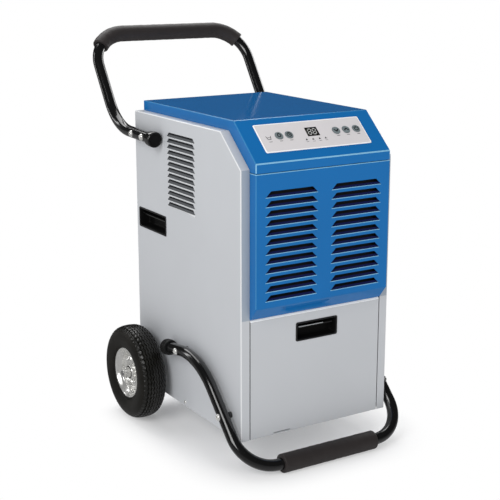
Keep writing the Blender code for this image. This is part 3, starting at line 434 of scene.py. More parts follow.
def louvre_blade(bm, place, slot, mats, share, lean, radius=0.0018):
    """The tongue pressed in from a louvre's lower edge: rounded lip, slope and end pleats.
    share is the part of the opening's height that it covers, lean its degrees from upright,
    and mats the material indices of its slope and pleats, in painted shade, its lip, a painted
    highlight, and its upper end, in painted shade that may be deeper."""
    column, low, width, height = slot
    inside, edge, top = mats
    lean = radians(lean)
    section = [(-0.0003, -0.0005), (-0.0003, 0.0002)]
    for k in range(1, 4):
        turn = lean * k / 3
        section.append((radius * (1 - cos(turn)), radius * sin(turn)))
    y, z = section[-1]
    rise = height * share - z
    for k in (0.45, 1):
        section.append((y + rise * k * tan(lean), z + rise * k))
    # the lip's bands in painted highlight, the slope in painted shade, its upper part in the upper
    # end's painted shade
    bands = [edge, edge, edge, inside, inside, top]
    rows = []
    for depth, up in section:
        half = width / 2 - max(up, 0) - 0.0003
        rows.append([place(column + u, low + up, depth)
                     for u in (-half, -half * 0.96, 0, half * 0.96, half)])
    here = place(0, 0, 0)
    turned = (place(1, 0, 0) - here).cross(place(0, 1, 0) - here).dot(place(0, 0, 1) - here) > 0
    old = len(bm.faces)
    grid(bm, rows, bands=bands)
    for side, end in ((-1, 0), (1, -1)):
        outer = [place(column + side * (width / 2 - up), low + up, 0) for _, up in section[2:]]
        pleat = [outer, [row[end] for row in rows[2:]]]
        grid(bm, pleat[::side], index=inside)
    bm.faces.ensure_lookup_table()
    if turned:
        bmesh.ops.reverse_faces(bm, faces=bm.faces[old:])


def louvres(rows, pitch, lowest, width, height, columns):
    return [(c, lowest + r * pitch, width, height) for r in range(rows) for c in columns]


def offset_path(path, n):
    """A (y, z) path moved inward, to its right, with mitred corners."""
    normals = []
    for a, b in zip(path, path[1:]):
        d = (Vector(b) - Vector(a)).normalized()
        normals.append(Vector((d.y, -d.x)))
    out = []
    for i, p in enumerate(path):
        before, after = normals[max(0, i - 1)], normals[min(i, len(normals) - 1)]
        out.append(Vector(p) + (before + after) * (n / (1 + before.dot(after))))
    return out


def rounded_path(corners, radii):
    """A path in space with an arc at each of its inner corners."""
    path = [Vector(corners[0])]
    for *corner, radius in zip(corners, corners[1:], corners[2:], radii):
        centre, first, last = corner_arc(*corner, radius)
        for step in range(BEND_STEPS + 1):
            path.append(centre + first.slerp(last, step / BEND_STEPS).normalized() * radius)
    path.append(Vector(corners[-1]))
    return path


def sweep(bm, path, radii, sides):
    """A round tube through the path's points, with a radius at each."""
    rows = []
    side = None
    for i, p in enumerate(path):
        ahead = next((q - p for q in path[i + 1:] if (q - p).length > 0.0003), None)
        behind = next((p - q for q in reversed(path[:i]) if (q - p).length > 0.0003), None)
        tangent = ((ahead or behind).normalized() + (behind or ahead).normalized()).normalized()
        if side is None:
            side = tangent.orthogonal().normalized()
        side = (side - tangent * side.dot(tangent)).normalized()
        other = tangent.cross(side)
        rows.append([p + (side * u + other * v) * radii[i] for u, v in circle(1, sides)])
    grid(bm, rows, closed=True)


def turn_to(direction, origin):
    """A matrix whose Z looks along a direction, at a place."""
    turn = Vector(direction).to_track_quat("Z", "Y").to_matrix().to_4x4()
    return Matrix.Translation(origin) @ turn


def outward(bm):
    bmesh.ops.recalc_face_normals(bm, faces=bm.faces)


def pan_head(bm, matrix, radius=0.0038, height=0.0016):
    """A small pan screw head with a round recess."""
    shares = ((1, 0), (1, 0.35), (0.8, 0.85), (0.45, 1), (0.3, 1), (0.22, 0.4))
    profile = [(radius * r, height * h) for r, h in shares]
    lathe(bm, [*profile, (0.0001, height * 0.4)], matrix, 16, SCREW)


# ---- sheet-metal cabinet
GREY_SKIN = [GREY, GREY_IN_SHADE, ZINC, GREY_HIGHLIGHT]
PAINT, IN_SHADE, SCREW, FOLD_HIGHLIGHT, SHADE_BY_BLUE, SHADED = range(6)    # the side skins have two more
EDGE_PATH = [(0, BOTTOM), (0, GRILLE_BOTTOM), (0, CHAMFER_Z), (CHAMFER_Y, GREY_TOP),
             (DEPTH, GREY_TOP)]


def folded_section():
    """(inward distance, distance in from the side) across a folded edge."""
    section = [(FOLD + RING, 0), (FOLD, 0)]
    for k in range(1, 5):
        turn = radians(90 * k / 4)
        section.append((FOLD * (1 - sin(turn)), FOLD * (1 - cos(turn))))
    return section + [(0, FLANGE)]


def side_panel(word, side):
    bm = bmesh.new()
    rows = [[at(y, z, side * (HALF - x)) for y, z in offset_path(EDGE_PATH, n)]
            for n, x in folded_section()]
    # the fold's faces take the painted highlight
    made = grid(bm, rows, bands=[PAINT, FOLD_HIGHLIGHT, FOLD_HIGHLIGHT, FOLD_HIGHLIGHT, PAINT, PAINT])
    # the flange beside the grille and hood takes the painted shade and blue reflection
    for face in bm.faces:
        x, y, z = face.calc_center_median()
        flange = face.material_index == PAINT and abs(x) < HALF - NEAR and y < FRONT + NEAR
        if flange and GRILLE_BOTTOM < z < CHAMFER_Z:
            face.material_index = SHADE_BY_BLUE
    corner = bm.verts.new(at(DEPTH, BOTTOM, side * HALF))

    def place(u, z, depth):
        return at(SIDE_LOUVRE_Y + u, z, side * (HALF - depth))

    slots = louvres(**SIDE_LOUVRES, columns=(0,))
    holes = [louvre_outline(place, *slot) for slot in slots]
    for y, z, outline in ((*GRIP_AT, pull_opening(GRIP_SIZE)),
                          (WHEEL_Y, TYRE_RADIUS, circle(AXLE_HOLE, 20))):
        holes.append([at(y + u, z + v, side * HALF) for u, v in outline])
    fill_ring(bm, made[0] + [corner], holes, (side, 0, 0))
    face_out(bm, (side, 0, 0))
    # tongues in painted shade, darkest at their upper ends, with lips in painted highlight
    for slot in slots:
        louvre_blade(bm, place, slot, (IN_SHADE, FOLD_HIGHLIGHT, SHADED), 1.12, 27, radius=0.0011)
    screw = turn_to((side, 0, 0), at(*SIDE_SCREW, side * HALF))
    pan_head(bm, screw, radius=0.0052, height=0.0024)
    make(f"{word}_side_skin", bm, [*GREY_SKIN, GREY_SHADE, SHADE],
         [f"{word}_side_panel"], wall=SKIN)


def pull_opening(size):
    """The hole that a moulded pull's rim covers."""
    return rounded_rect(size[0] - 2 * BEZEL, size[1] - 2 * BEZEL, 0.004)


def recessed_cup(name, node, body, size, depth, location, normal, lip_highlight=None):
    """A moulded pull: rounded rim, pocket with drafted walls, and a ledge for the fingers."""
    bm = bmesh.new()
    w, h = size
    # the pocket takes a darker, duller black than the rim: painted shade in the recess
    plain, pocket, shelf, lip = range(4)  # material indices
    floor_z = -1000 * depth
    outer = mm((0, 0, 4.5), (0, 1, 4.5), (0.6, 1.6, 4))
    inner = mm((-0.8, 1.6, 3.4), (0.2, 1, 3), (0.8, -0.8, 3), (2.2, floor_z * 0.55, 3),
               (3, floor_z + 3.5, 3), (4.5, floor_z + 1, 3), (7, floor_z, 2.5))
    steps = outer + [(BEZEL + n, z, r) for n, z, r in inner]
    up = Vector((0, 0, 1))
    turn = Matrix((up.cross(Vector(normal)), up, Vector(normal))).transposed().to_4x4()
    matrix = Matrix.Translation(location) @ turn
    loft(bm, inset_loops(size, steps), matrix, pocket, bands=[plain] * 4 + [pocket] * 5)
    face_out(bm, normal)
    reach = w / 2 - BEZEL - 0.0026
    ledge = mm((floor_z + 0.6, 3.4), (-8.5, 3.4), (-6.6, 2.6), (-5.6, 0.8), (-6.2, -1),
               (-8, -1.6), (floor_z + 0.6, -1.6))
    rows = [[matrix @ Vector((x, h * 0.17 + v, n)) for n, v in ledge]
            for x in (-reach, -reach + 0.001, -reach * 0.9, reach * 0.42, reach - 0.001, reach)]
    sides = grid(bm, rows, closed=True, index=shelf)
    for ring in (sides[0][::-1], sides[-1]):
        bm.faces.new(ring).material_index = shelf
    # one band of the ledge's nose takes the painted highlight, when one is given
    for face in set(sides[2][2].link_faces) & set(sides[3][3].link_faces):
        face.material_index = lip
    make(name, bm, [PLASTIC, DULL_BLACK, GLOSS_BLACK, lip_highlight or GLOSS_BLACK],
         [node], body, angle=40)


def base_parts():
    """The CAD nodes that stay, with the radius of their edges."""
    kept = ((GREY, {"base_pan": 0.0004, "mid_deck": 0.0003, "fan_shroud": 0.0004,
                    "electrical_box": 0.0008}),
            (STEEL, {"left_axle_bracket": 0.0006, "right_axle_bracket": 0.0006, "axle": 0,
                     "fan_motor": 0.001, "motor_bracket": 0.0006}),
            (FINS, {"evaporator": 0.0006, "condenser": 0.0006}),
            (COPPER, {"discharge_pipe": 0, "suction_pipe": 0}),
            (PLASTIC, {"drip_tray": 0.0005, "float_arm": 0.0006}),
            (BOARD, {"control_board": 0.0003}),
            (ENAMEL, {"compressor": 0.0015}),
            (TANK, {"water_tank": 0.0006}),
            (FILTER, {"air_filter": 0.0005}))
    for mat, nodes in kept:
        for node, edge in nodes.items():
            dress(node, mat, edge)


def rear_panel():
    half = HALF - SHEET - GAP
    low, high = BOTTOM + 0.0015, GREY_TOP - SHEET - GAP
    bm = bmesh.new()

    def place(u, z, depth):
        return at(DEPTH - depth, z, -u)

    ring = [bm.verts.new(place(u, z, 0)) for u, z in
            ((-half, low), (half, low), (half, high), (-half, high))]
    slots = louvres(**REAR_LOUVRES, columns=(-COLUMN, COLUMN))
    fill_ring(bm, ring, [louvre_outline(place, *slot) for slot in slots], (0, 1, 0))
    # tongues in painted shade, with lips in painted highlight
    for slot in slots:
        louvre_blade(bm, place, slot, (IN_SHADE, FOLD_HIGHLIGHT, IN_SHADE), 1.15, 26)
    for x in (-REAR_SCREW_X, REAR_SCREW_X):
        for z in REAR_SCREW_Z:
            pan_head(bm, turn_to((0, 1, 0), at(DEPTH, z, x)))
    make("rear_skin", bm, GREY_SKIN, ["rear_panel"], wall=SKIN)


def box_from_profile(profile, half):
    """A closed solid from a (y, z) profile, between -half and +half."""
    bm = bmesh.new()
    ends = [[bm.verts.new(at(y, z, x)) for y, z in profile] for x in (-half, half)]
    bm.faces.new(ends[0][::-1])
    bm.faces.new(ends[1])
    for i in range(len(profile)):
        j = (i + 1) % len(profile)
        bm.faces.new((ends[0][i], ends[0][j], ends[1][j], ends[1][i]))
    outward(bm)
    return bm


def faces_along(bm, direction):
    direction = Vector(direction).normalized()
    return [f for f in bm.faces if f.normal.dot(direction) > 0.999]


def round_all(bm, radius, edge=0):
    """Round every edge of a closed box; its narrow faces get the edge's material index."""
    bmesh.ops.bevel(bm, geom=list(bm.edges), offset=radius, segments=4, profile=0.5,
                    affect="EDGES", clamp_overlap=True, material=edge)


def pierce(bm, direction, holes, margin=RING):
    """Replace the largest flat face along a direction by a ring and a face with holes."""
    face = largest(faces_along(bm, direction))
    bmesh.ops.inset_region(bm, faces=[face], thickness=margin)
    ring = [loop.vert for loop in face.loops]
    bmesh.ops.delete(bm, geom=[face], context="FACES_ONLY")
    fill_ring(bm, ring, holes, direction)


def in_order(bm):
    """Sort points and faces along a slanted line, because some operators shuffle them."""
    line = Vector((1, 1.7, 2.9))
    bm.verts.sort(key=lambda v: v.co.dot(line))
    bm.faces.sort(key=lambda f: f.calc_center_median().dot(line))


def top_cover():
    profile = [(BLUE_REAR, GREY_TOP - SKIRT), (BLUE_REAR, BLUE_TOP), (SLOPE_TOP_Y, BLUE_TOP),
               (-PROUD, SLOPE_LOW_Z), (-PROUD, LIP_Z), (SKIRT, LIP_Z),
               (CHAMFER_Y, GREY_TOP - SKIRT)]
    bm = box_from_profile(profile, BLUE_HALF)
    mats = [BLUE, BLUE_HIGHLIGHT, BLUE_SOFT_HIGHLIGHT]
    # bevels get the painted highlight; it stays on the fold at the slope's foot and the front's
    # corner edges, other folds get the soft painted highlight and the lower lip plain blue
    round_all(bm, 0.002, mats.index(BLUE_HIGHLIGHT))
    for face in bm.faces:
        _, y, z = face.calc_center_median()
        if z < LIP_Z + NEAR:
            face.material_index = mats.index(BLUE)
        elif face.material_index and (z > SLOPE_LOW_Z + 0.002 or y > FRONT - PROUD + 0.0025):
            face.material_index = mats.index(BLUE_SOFT_HIGHLIGHT)
    under = (0, GREY_TOP - SKIRT - LIP_Z, SKIRT - CHAMFER_Y)
    gone = faces_along(bm, (0, 0, -1)) + faces_along(bm, under)
    smallest = 0.003                      # square metres, more than any face of a fold
    big = [f for f in gone if f.calc_area() > smallest]
    bmesh.ops.delete(bm, geom=big, context="FACES")
    make("hood", bm, mats, ["top_cover"], wall=SKIN)


def front_grille():
    profile = [(SKIRT, GRILLE_BOTTOM), (SKIRT, GRILLE_TOP), (-PROUD, GRILLE_TOP),
               (-PROUD, GRILLE_FOLD), (-GAP, GRILLE_BOTTOM)]
    bm = box_from_profile(profile, BLUE_HALF)
    mats = [BLUE, BLUE_IN_SHADE, BLUE_HIGHLIGHT, BLUE_SOFT_HIGHLIGHT]
    # bevels get the painted highlight; it stays on the top edge, the upright folds get the soft
    # painted highlight and those by the chamfer plain blue
    round_all(bm, 0.0018, mats.index(BLUE_HIGHLIGHT))
    for face in bm.faces:
        z = face.calc_center_median().z
        if z < GRILLE_FOLD + NEAR:
            face.material_index = mats.index(BLUE)
        elif face.material_index and z < GRILLE_TOP - NEAR:
            face.material_index = mats.index(BLUE_SOFT_HIGHLIGHT)
    bmesh.ops.delete(bm, geom=faces_along(bm, (0, 1, 0)), context="FACES")

    def place(u, z, depth):
        return at(-PROUD + depth, z, u)

    slots = louvres(**LOUVRES, columns=(-COLUMN, COLUMN))
    pierce(bm, (0, -1, 0), [louvre_outline(place, *slot) for slot in slots])

    fall = Vector((0, PROUD - GAP, GRILLE_BOTTOM - GRILLE_FOLD)).normalized()
    normal = Vector((0, fall.z, -fall.y))

    def on_chamfer(x, down, depth):
        return at(-PROUD, GRILLE_FOLD) + fall * down - normal * depth + Vector((x, 0, 0))

    corners = mm((-103, 25.5), (10, 25.5), (29, 7.5), (-124, 7.5))
    outline = rounded_corners(corners, radius=0.003)          # of the finger slot
    pierce(bm, normal, [[on_chamfer(x, d, 0) for x, d in outline]], 0.003)
    mid_x, mid_down = -0.047, 0.0165
    rows = []
    for share, depth in ((1, 0), (0.93, 0.0012), (0.72, 0.0045), (0.55, 0.0052)):
        wide = 1 - (1 - share) * 0.25
        rows.append([on_chamfer(mid_x + (x - mid_x) * wide, mid_down + (d - mid_down) * share,
                                depth) for x, d in outline])
    bm.faces.new(grid(bm, rows, closed=True)[-1])
    in_order(bm)
    bmesh.ops.remove_doubles(bm, verts=bm.verts, dist=MERGE)
    face_out(bm, (0, -1, 0))
    # tongues in painted shade, with lips in painted highlight
    blade = [mats.index(mat) for mat in (BLUE_IN_SHADE, BLUE_HIGHLIGHT, BLUE_IN_SHADE)]
    for slot in slots:
        louvre_blade(bm, place, slot, blade, 0.4, 46, radius=0.0021)
    make("grille", bm, mats, ["front_grille"], "grille", wall=SKIN)


def tank_door():
    profile = [(0, BOTTOM), (DOOR_DEPTH, BOTTOM), (DOOR_DEPTH, DOOR_TOP), (0.0032, DOOR_TOP),
               (0, DOOR_TOP - 0.0042)]
    bm = box_from_profile(profile, DOOR_HALF - GAP)
    mats = [GREY, SHADE, WHITE_HIGHLIGHT]
    round_all(bm, 0.001)
    # painted shade on the door's side edges, to this depth, makes the seam read dark
    shaded = 0.0045                       # depth of the dark seam on the door's side edges
    bmesh.ops.bisect_plane(bm, geom=bm.faces[:] + bm.edges[:] + bm.verts[:],
                           plane_co=at(shaded, 0), plane_no=(0, 1, 0))
    # the top slant takes a painted highlight, the side edges near the front painted shade
    for face in bm.faces:
        if face.normal.z > 0.2 and face.normal.y < -0.2:
            face.material_index = mats.index(WHITE_HIGHLIGHT)
        elif abs(face.normal.x) > 0.2 and face.calc_center_median().y < FRONT + shaded:
            face.material_index = mats.index(SHADE)
    bmesh.ops.delete(bm, geom=faces_along(bm, (0, 1, 0)), context="FACES")
    slit, slit_x, slit_up = rounded_rect(0.051, 0.0024, 0.0008, 2), -0.1025, 0.0044
    holes = [[at(0, PULL_Z + v, u) for u, v in pull_opening(PULL_SIZE)],
             [at(0, BOTTOM + slit_up + v, u + slit_x) for u, v in slit]]
    pierce(bm, (0, -1, 0), holes, 0.0012)
    in_order(bm)
    face_out(bm, (0, -1, 0))
    make("door_skin", bm, mats, ["tank_door"], "tank_drawer", wall=SKIN)
    recessed_cup("door_pull_cup", "door_pull", "tank_drawer", PULL_SIZE, PULL_DEPTH,
                 at(0, PULL_Z), (0, -1, 0), PULL_HIGHLIGHT)


# ---- tubes, foam, caps, bolts
def u_path(points, bends):
    left = [at(y, z, -TUBE_X) for y, z in points]
    right = [Vector((-p.x, p.y, p.z)) for p in reversed(left)]
    return rounded_path(left + right, [*bends, *reversed(bends)])


def resampled(path, step):
    """Points at an even distance along a path, its ends kept."""
    lengths = [(b - a).length for a, b in zip(path, path[1:])]
    total = sum(lengths)
    count = max(2, round(total / step))
    out, k, done = [], 0, 0
    for i in range(count + 1):
        want = total * i / count
        while k < len(lengths) - 1 and done + lengths[k] < want:
            done += lengths[k]
            k += 1
        share = 0 if lengths[k] == 0 else min(1, (want - done) / lengths[k])
        out.append(path[k].lerp(path[k + 1], share))
    return out


def tube(name, node, path):
    bm = bmesh.new()
    sweep(bm, path, [TUBE_RADIUS] * len(path), 36)
    outward(bm)
    make(name, bm, [GLOSS_BLACK], [node], wall=0.0015, angle=50)


def foam(name, node, path, radius):
    """A foam sleeve whose ends roll in to the tube, its skin slightly uneven."""
    path = resampled(path, 0.004)
    ends = [(0, -0.005), (0, -0.0022), (0.0006, -0.0008), (0.0022, 0)]
    start, finish, middle = path[0], path[-1], path[1:-1]
    ahead, back = (path[1] - start).normalized(), (path[-2] - finish).normalized()
    first = [start + ahead * k for k, _ in ends]
    last = [finish + back * k for k, _ in reversed(ends)]
    radii = [radius + d for _, d in ends]
    wave = [radius + 0.00025 * sin(i * 0.9) * sin(i * 0.37) for i in range(len(middle))]
    bore = [TUBE_RADIUS + 0.0004]
    bm = bmesh.new()
    sweep(bm, [start, *first, *middle, *last, finish], bore + radii + wave + radii[::-1] + bore, 40)
    outward(bm)
    piece = make(name, bm, [FOAM], [node], angle=70)


def end_matrix(path, side):
    """A matrix at the outer face of a tube's end cap, its Z pointing out of the tube."""
    tip, inward = (at(*point, side * TUBE_X) for point in path[:2])
    along = (inward - tip).normalized()
    return turn_to(-along, tip - along * CAP_PROUD)


def handle_cap(word, side):
    """A glossy cap: body, wider end ring and a dull dish inside its rim."""
    bm = bmesh.new()
    r, c = CAP_RADIUS, CAP_LENGTH
    matrix = end_matrix(HANDLE, side)
    dish = [(0.0001, -0.0022), (r * 0.66, -0.0022), (r * 0.8, -0.0018)]
    shell = [(r * 0.8, -0.0018), (r * 0.84, -0.0002), (r * 0.9, 0), (r * 0.96, -0.0008),
             (r, -0.0028), (r, -0.015), (r * 0.985, -0.016), (r * 0.95, -0.0164),
             (r * 0.95, -c + 0.0016), (r * 0.92, -c + 0.0003), (r * 0.86, -c),
             (TUBE_RADIUS + 0.0003, -c)]
    lathe(bm, dish, matrix, 56, 1)
    lathe(bm, shell, matrix, 56)
    bmesh.ops.remove_doubles(bm, verts=bm.verts, dist=MERGE)
    outward(bm)
    make(f"handle_knob_{word}", bm, [GLOSS_BLACK, DULL_BLACK],
         [f"handle_cap_{word}"], angle=40)


def foot_cap(word, side):
    """A ribbed rubber cap."""
    bm = bmesh.new()
    r, c = CAP_RADIUS, CAP_LENGTH
    profile = [(0.0001, -0.0014), (r * 0.7, -0.0014), (r * 0.8, 0), (r * 0.9, -0.0002),
               (r * 0.96, -0.0014), (r, -0.0035), (r, -c + 0.0055), (r * 0.955, -c + 0.004),
               (r * 0.955, -c + 0.0015), (r * 0.92, -c), (TUBE_RADIUS + 0.0003, -c)]

    def ribs(i, k, radius):
        return radius * (0.89 if k in (5, 6) and i % 5 in (0, 4) else 1)

    lathe(bm, profile, end_matrix(FOOT, side), 110, ribs=ribs)
    outward(bm)
    make(f"foot_knob_{word}", bm, [RUBBER], [f"foot_cap_{word}"], angle=30)


def bolts(name, spots, side, nodes):
    """Domed socket heads on washers, with the collars that hold the tube off the panel."""
    bm = bmesh.new()
    out = TUBE_X + TUBE_RADIUS - HALF
    gap = TUBE_X - TUBE_RADIUS - HALF
    head = mm((9.2, -0.6), (9.2, 0.6), (8, 0.9), (7.9, 1.6), (7.1, 3.2), (5.2, 4.3), (2.8, 4.7),
              (2.5, 4.5), (2.4, 3), (0.1, 2.8))
    collar = [(0.0045, 0.0002), (0.0075, 0.0002), (0.008, 0.0007), (0.008, gap + 0.001)]
    for y, z in spots:
        turn = turn_to((side, 0, 0), at(y, z, side * HALF))
        lathe(bm, [(r, out + h) for r, h in head], turn, 24)
        lathe(bm, collar, turn, 24, 1)
    outward(bm)
    make(name, bm, [ZINC, GLOSS_BLACK], nodes, angle=35)


def frames():
    handle = u_path(HANDLE, HANDLE_BENDS)
    tube("push_handle", "handle_tube", handle)
    tube("front_foot", "foot_frame", u_path(FOOT, FOOT_BENDS))
    bend, bare = BEND_STEPS + 1, 10       # points on a bend, and those outside the foam
    covered = handle[1 + bend + bare:1 + 3 * bend - bare]
    foam("handle_sleeve", "handle_grip", covered, HANDLE_GRIP_RADIUS)
    ends = [at(*FOOT[2], -FOOT_GRIP_HALF), at(*FOOT[2], FOOT_GRIP_HALF)]
    foam("foot_sleeve", "foot_grip", ends, FOOT_GRIP_RADIUS)
    for side, word in SIDES:
        handle_cap(word, side)
        foot_cap(word, side)
        for label, spots in (("handle", HANDLE_BOLTS), ("foot", FOOT_BOLTS)):
            nodes = [f"{label}_bolt_{word}_{k}" for k in (1, 2)]
            bolts(f"{label}_bolts_{word}", spots, side, nodes)


# ---- wheels
def tyre(word, matrix):
    """A treaded pneumatic tyre: round section, zig-zag grooves and notched shoulders."""
    bead = RIM_RADIUS - 0.002
    middle = (bead + TYRE_RADIUS) / 2
    tall = TYRE_RADIUS - middle
    power = 2.5                           # how square the section is
    groove, sharp = 0.0036, 0.0019        # a groove's depth and the zig-zag's reach

    def skin(a):
        """Outer radius at a distance across."""
        return middle + tall * (1 - (abs(a) / TYRE_HALF) ** power) ** (1 / power)

    section = []                          # (across, radius, share of the zig-zag, notch depth)
    for a, r in mm((22.5, -4), (25.6, 0.5), (29, 4), (32.2, 8), (33.4, 8.4), (35.8, 15),
                   (37.4, 23), (38, 31), (37.8, 38)):
        section.append((a, bead + r, 0, 0))
    for a, notch in mm((36.8, 0), (35.4, 0), (34.6, 0), (33.4, 0), (32.4, 1), (31.2, 2.6),
                       (29.8, 2.6), (28.4, 1.4)):
        section.append((a, skin(a), 0.2 if notch else 0, notch))
    for line in (0.0238, 0.016, 0.0082):  # middles of the grooves
        low = skin(line) - groove
        for a, r in ((line + 0.0019, None), (line + 0.0012, low), (line - 0.0012, low),
                     (line - 0.0019, None)):
            section.append((a, r or skin(a), 1, 0))
    section += [(0.0012, TYRE_RADIUS, 1, 0), (0.0008, TYRE_RADIUS - 0.003, 1, 0)]
    section = [(-a, r, w, n) for a, r, w, n in section] + section[::-1]
    zigs, per = 54, 6                     # zig-zags round the tyre, and steps in each
    hub = matrix.translation
    rows = []
    for i in range(zigs * per):
        turn = tau * i / (zigs * per)
        zig = (abs((i % per) / per * 4 - 2) - 1) * sharp
        rows.append([spun(matrix, r - (notch if i % per in (0, 1) else 0), turn, a + zig * share)
                     for a, r, share, notch in section])
    bm = bmesh.new()
    grid(bm, rows, wrap=True)
    for face in bm.faces:                 # the tread lies within 33 mm of the middle
        across = [abs(v.co.x - hub.x) for v in face.verts]
        outer = all((v.co - hub).yz.length > middle for v in face.verts)
        face.material_index = int(outer and max(across) < 0.033 and min(across) < 0.0315)
    outward(bm)
    make(f"{word}_tyre_tread", bm, [TYRE, TREAD], [f"{word}_tyre"], f"{word}_wheel")


def rim(word, matrix):
    """A pressed rim: rolled flange, drop centre, lobed disc, bolts and a hub tube."""
    flange = [(RIM_RADIUS + r, h) for r, h in
              mm((-1.2, -1.2), (0.2, 0.4), (-0.4, 1.6), (-2.2, 2), (-4.5, 0.6), (-6.2, -2.8))]
    well = mm((60.8, -6.2), (58.8, -8), (55.1, -9.2), (53.3, -11.5), (52.5, -16.5), (51.7, -20),
              (49.8, -22.2))
    disc = mm((46.8, -22.6, 1.24), (43, -22, 4.96), (38.5, -21.2, 6.2), (33.5, -20.6, 6.2),
              (29, -20.4, 4.34), (25, -20.6, 1.24), (23, -21.6))
    bearing = mm((22.2, -21.6), (21.4, -19), (20.8, -8.5), (19.6, -7.2), (17.8, -7), (17.2, -8),
                 (15.6, -8.2), (15, -7), (15, 3.9), (14, 5.3), (12.2, 5.3), (11.8, 4.3),
                 (10.4, 4.3), (10, 5.3), (9.2, 5.3), (8.6, 4.3), (8.6, -7.5))
    points = flange + well + disc + bearing       # (radius, height, the lobes' rise)
    seal = len(points) - len(bearing) + 4         # the black seal's bands start here
    bands = [int(seal <= k < seal + 3) for k in range(len(points) - 1)]
    sides, pinch = 120, 1.6               # pinch narrows the lobes
    turns = [tau * i / sides for i in range(sides)]
    bulges = [(0.5 + 0.5 * cos(LOBES * t)) ** pinch for t in turns]
    bm = bmesh.new()
    for mirror in (1, -1):
        rows = [[spun(matrix, r, t, mirror * (RIM_HALF + h + sum(lobe) * bulge))
                 for t, bulge in zip(turns, bulges)] for r, h, *lobe in points]
        grid(bm, rows, closed=True, bands=bands)
    bolt = mm((6.2, 0), (6.2, 3.4), (5.4, 4.2), (3.2, 4.2), (3, 5.8), (0.1, 6))
    for k in range(LOBES):
        turn = tau * (k + 0.5) / LOBES
        seat = spun(Matrix(), BOLT_CIRCLE, turn, RIM_HALF - 0.0212)
        lathe(bm, bolt, matrix @ Matrix.Translation(seat), 6)
    outward(bm)
    make(f"{word}_rim_pressing", bm, [ZINC, DULL_BLACK], [f"{word}_rim"],
         f"{word}_wheel", angle=38)


def axle_nut(word, matrix):
    """Washer and chamfered hexagon nut."""
    bm = bmesh.new()
    seat = 0.0332
    washer = mm((8.3, 0), (12.4, 0), (12.6, 0.3), (12.6, 1.1), (8.3, 1.2))
    lathe(bm, [(r, seat + h) for r, h in washer], matrix, 40)
    low, high = seat + 0.0012, seat + 0.006
    turns = [tau * i / 36 for i in range(36)]
    flats, corners, bore = 0.0108, 0.0125, 0.008      # radii
    rows = []
    for share, z in ((0.93, low), (1, low + 0.0009), (1, high - 0.0012), (0.9, high)):
        row = []
        for turn in turns:
            radius = flats / cos((turn % (tau / 6)) - tau / 12)
            if share < 1:
                radius = min(radius, corners * share)
            row.append(spun(matrix, radius, turn, z))
        rows.append(row)
    rows.append([spun(matrix, bore, turn, high) for turn in turns])
    grid(bm, rows, closed=True)
    outward(bm)
    make(f"{word}_nut", bm, [ZINC], [f"{word}_axle_nut"], angle=28)


def wheels():
    for side, word in SIDES:
        matrix = turn_to((side, 0, 0), at(WHEEL_Y, TYRE_RADIUS, side * WHEEL_X))
        for build in (tyre, rim, axle_nut):
            build(word, matrix)


# ---- control panel
PRINTED = 1                               # material index of printed shapes and lit segments


def panel_matrix():
    """A matrix at the middle of the panel: X to the right, Y up the slope, Z out of it."""
    down = Vector((0, -PROUD - SLOPE_TOP_Y, SLOPE_LOW_Z - BLUE_TOP)).normalized()
    across = Vector((1, 0, 0))
    turn = Matrix((across, -down, across.cross(-down))).transposed().to_4x4()
    return Matrix.Translation(at(SLOPE_TOP_Y, BLUE_TOP) + down * PANEL_DOWN) @ turn


def flat_shape(bm, outline, matrix, low, high):
    """A thin printed shape with upright sides."""
    loft(bm, [(outline, low), (outline, high)], matrix, PRINTED)


def arc(radius, start, end, width, steps=14):
    """The outline of a thick arc, in degrees anticlockwise."""
    turns = [radians(start + (end - start) * k / steps) for k in range(steps + 1)]
    outer, inner = ([(r * cos(t), r * sin(t)) for t in turns]
                    for r in (radius + width / 2, radius - width / 2))
    return outer + inner[::-1]


def bar(x0, y0, x1, y1, width):
    a, b = Vector((x0, y0)), Vector((x1, y1))
    side = Vector((-(b - a).y, (b - a).x)).normalized() * (width / 2)
    return [tuple(a - side), tuple(b - side), tuple(b + side), tuple(a + side)]


def strokes(*ends):
    """Bars from x0, y0, x1, y1 and a width in millimetres."""
    return [bar(*stroke) for stroke in mm(*ends)]


SYMBOLS = {
    "mode": [arc(0.0043, -215, 35, 0.0025),
             *strokes((0, 7.4, -3.8, 2.2, 2.5), (0, 7.4, 3.8, 2.2, 2.5))],
    "timer": [arc(0.0059, 0, 352, 0.0021, 24),
              *strokes((0, 0, 0, 4.2, 2.3), (0, 0, 3.5, -1.4, 2.3))],
    "down": strokes((-6, 3.1, 0, -3.6, 3.2), (6, 3.1, 0, -3.6, 3.2)),
    "up": strokes((-6, -3.1, 0, 3.6, 3.2), (6, -3.1, 0, 3.6, 3.2)),
    "power": [arc(0.0057, -235, 55, 0.0024), *strokes((0, 1, 0, 7.8, 2.7))],
}


def digit_segments(x, height):
    """The seven bars of a figure eight, leaning slightly."""
    half, arm, thick = height * 0.28, height / 2, height * 0.11
    ends = [(-half, y, half, y) for y in (arm, 0, -arm)]
    ends += [(end, y, end, y + arm) for y in (0, -arm) for end in (-half, half)]
    out = []
    for x0, y0, x1, y1 in ends:
        a, b = Vector((x0, y0)), Vector((x1, y1))
        trim = (b - a).normalized() * thick * 0.75
        a, b = a + trim, b - trim
        out.append([(x + u + 0.1 * v, v) for u, v in bar(a.x, a.y, b.x, b.y, thick)])
    return out


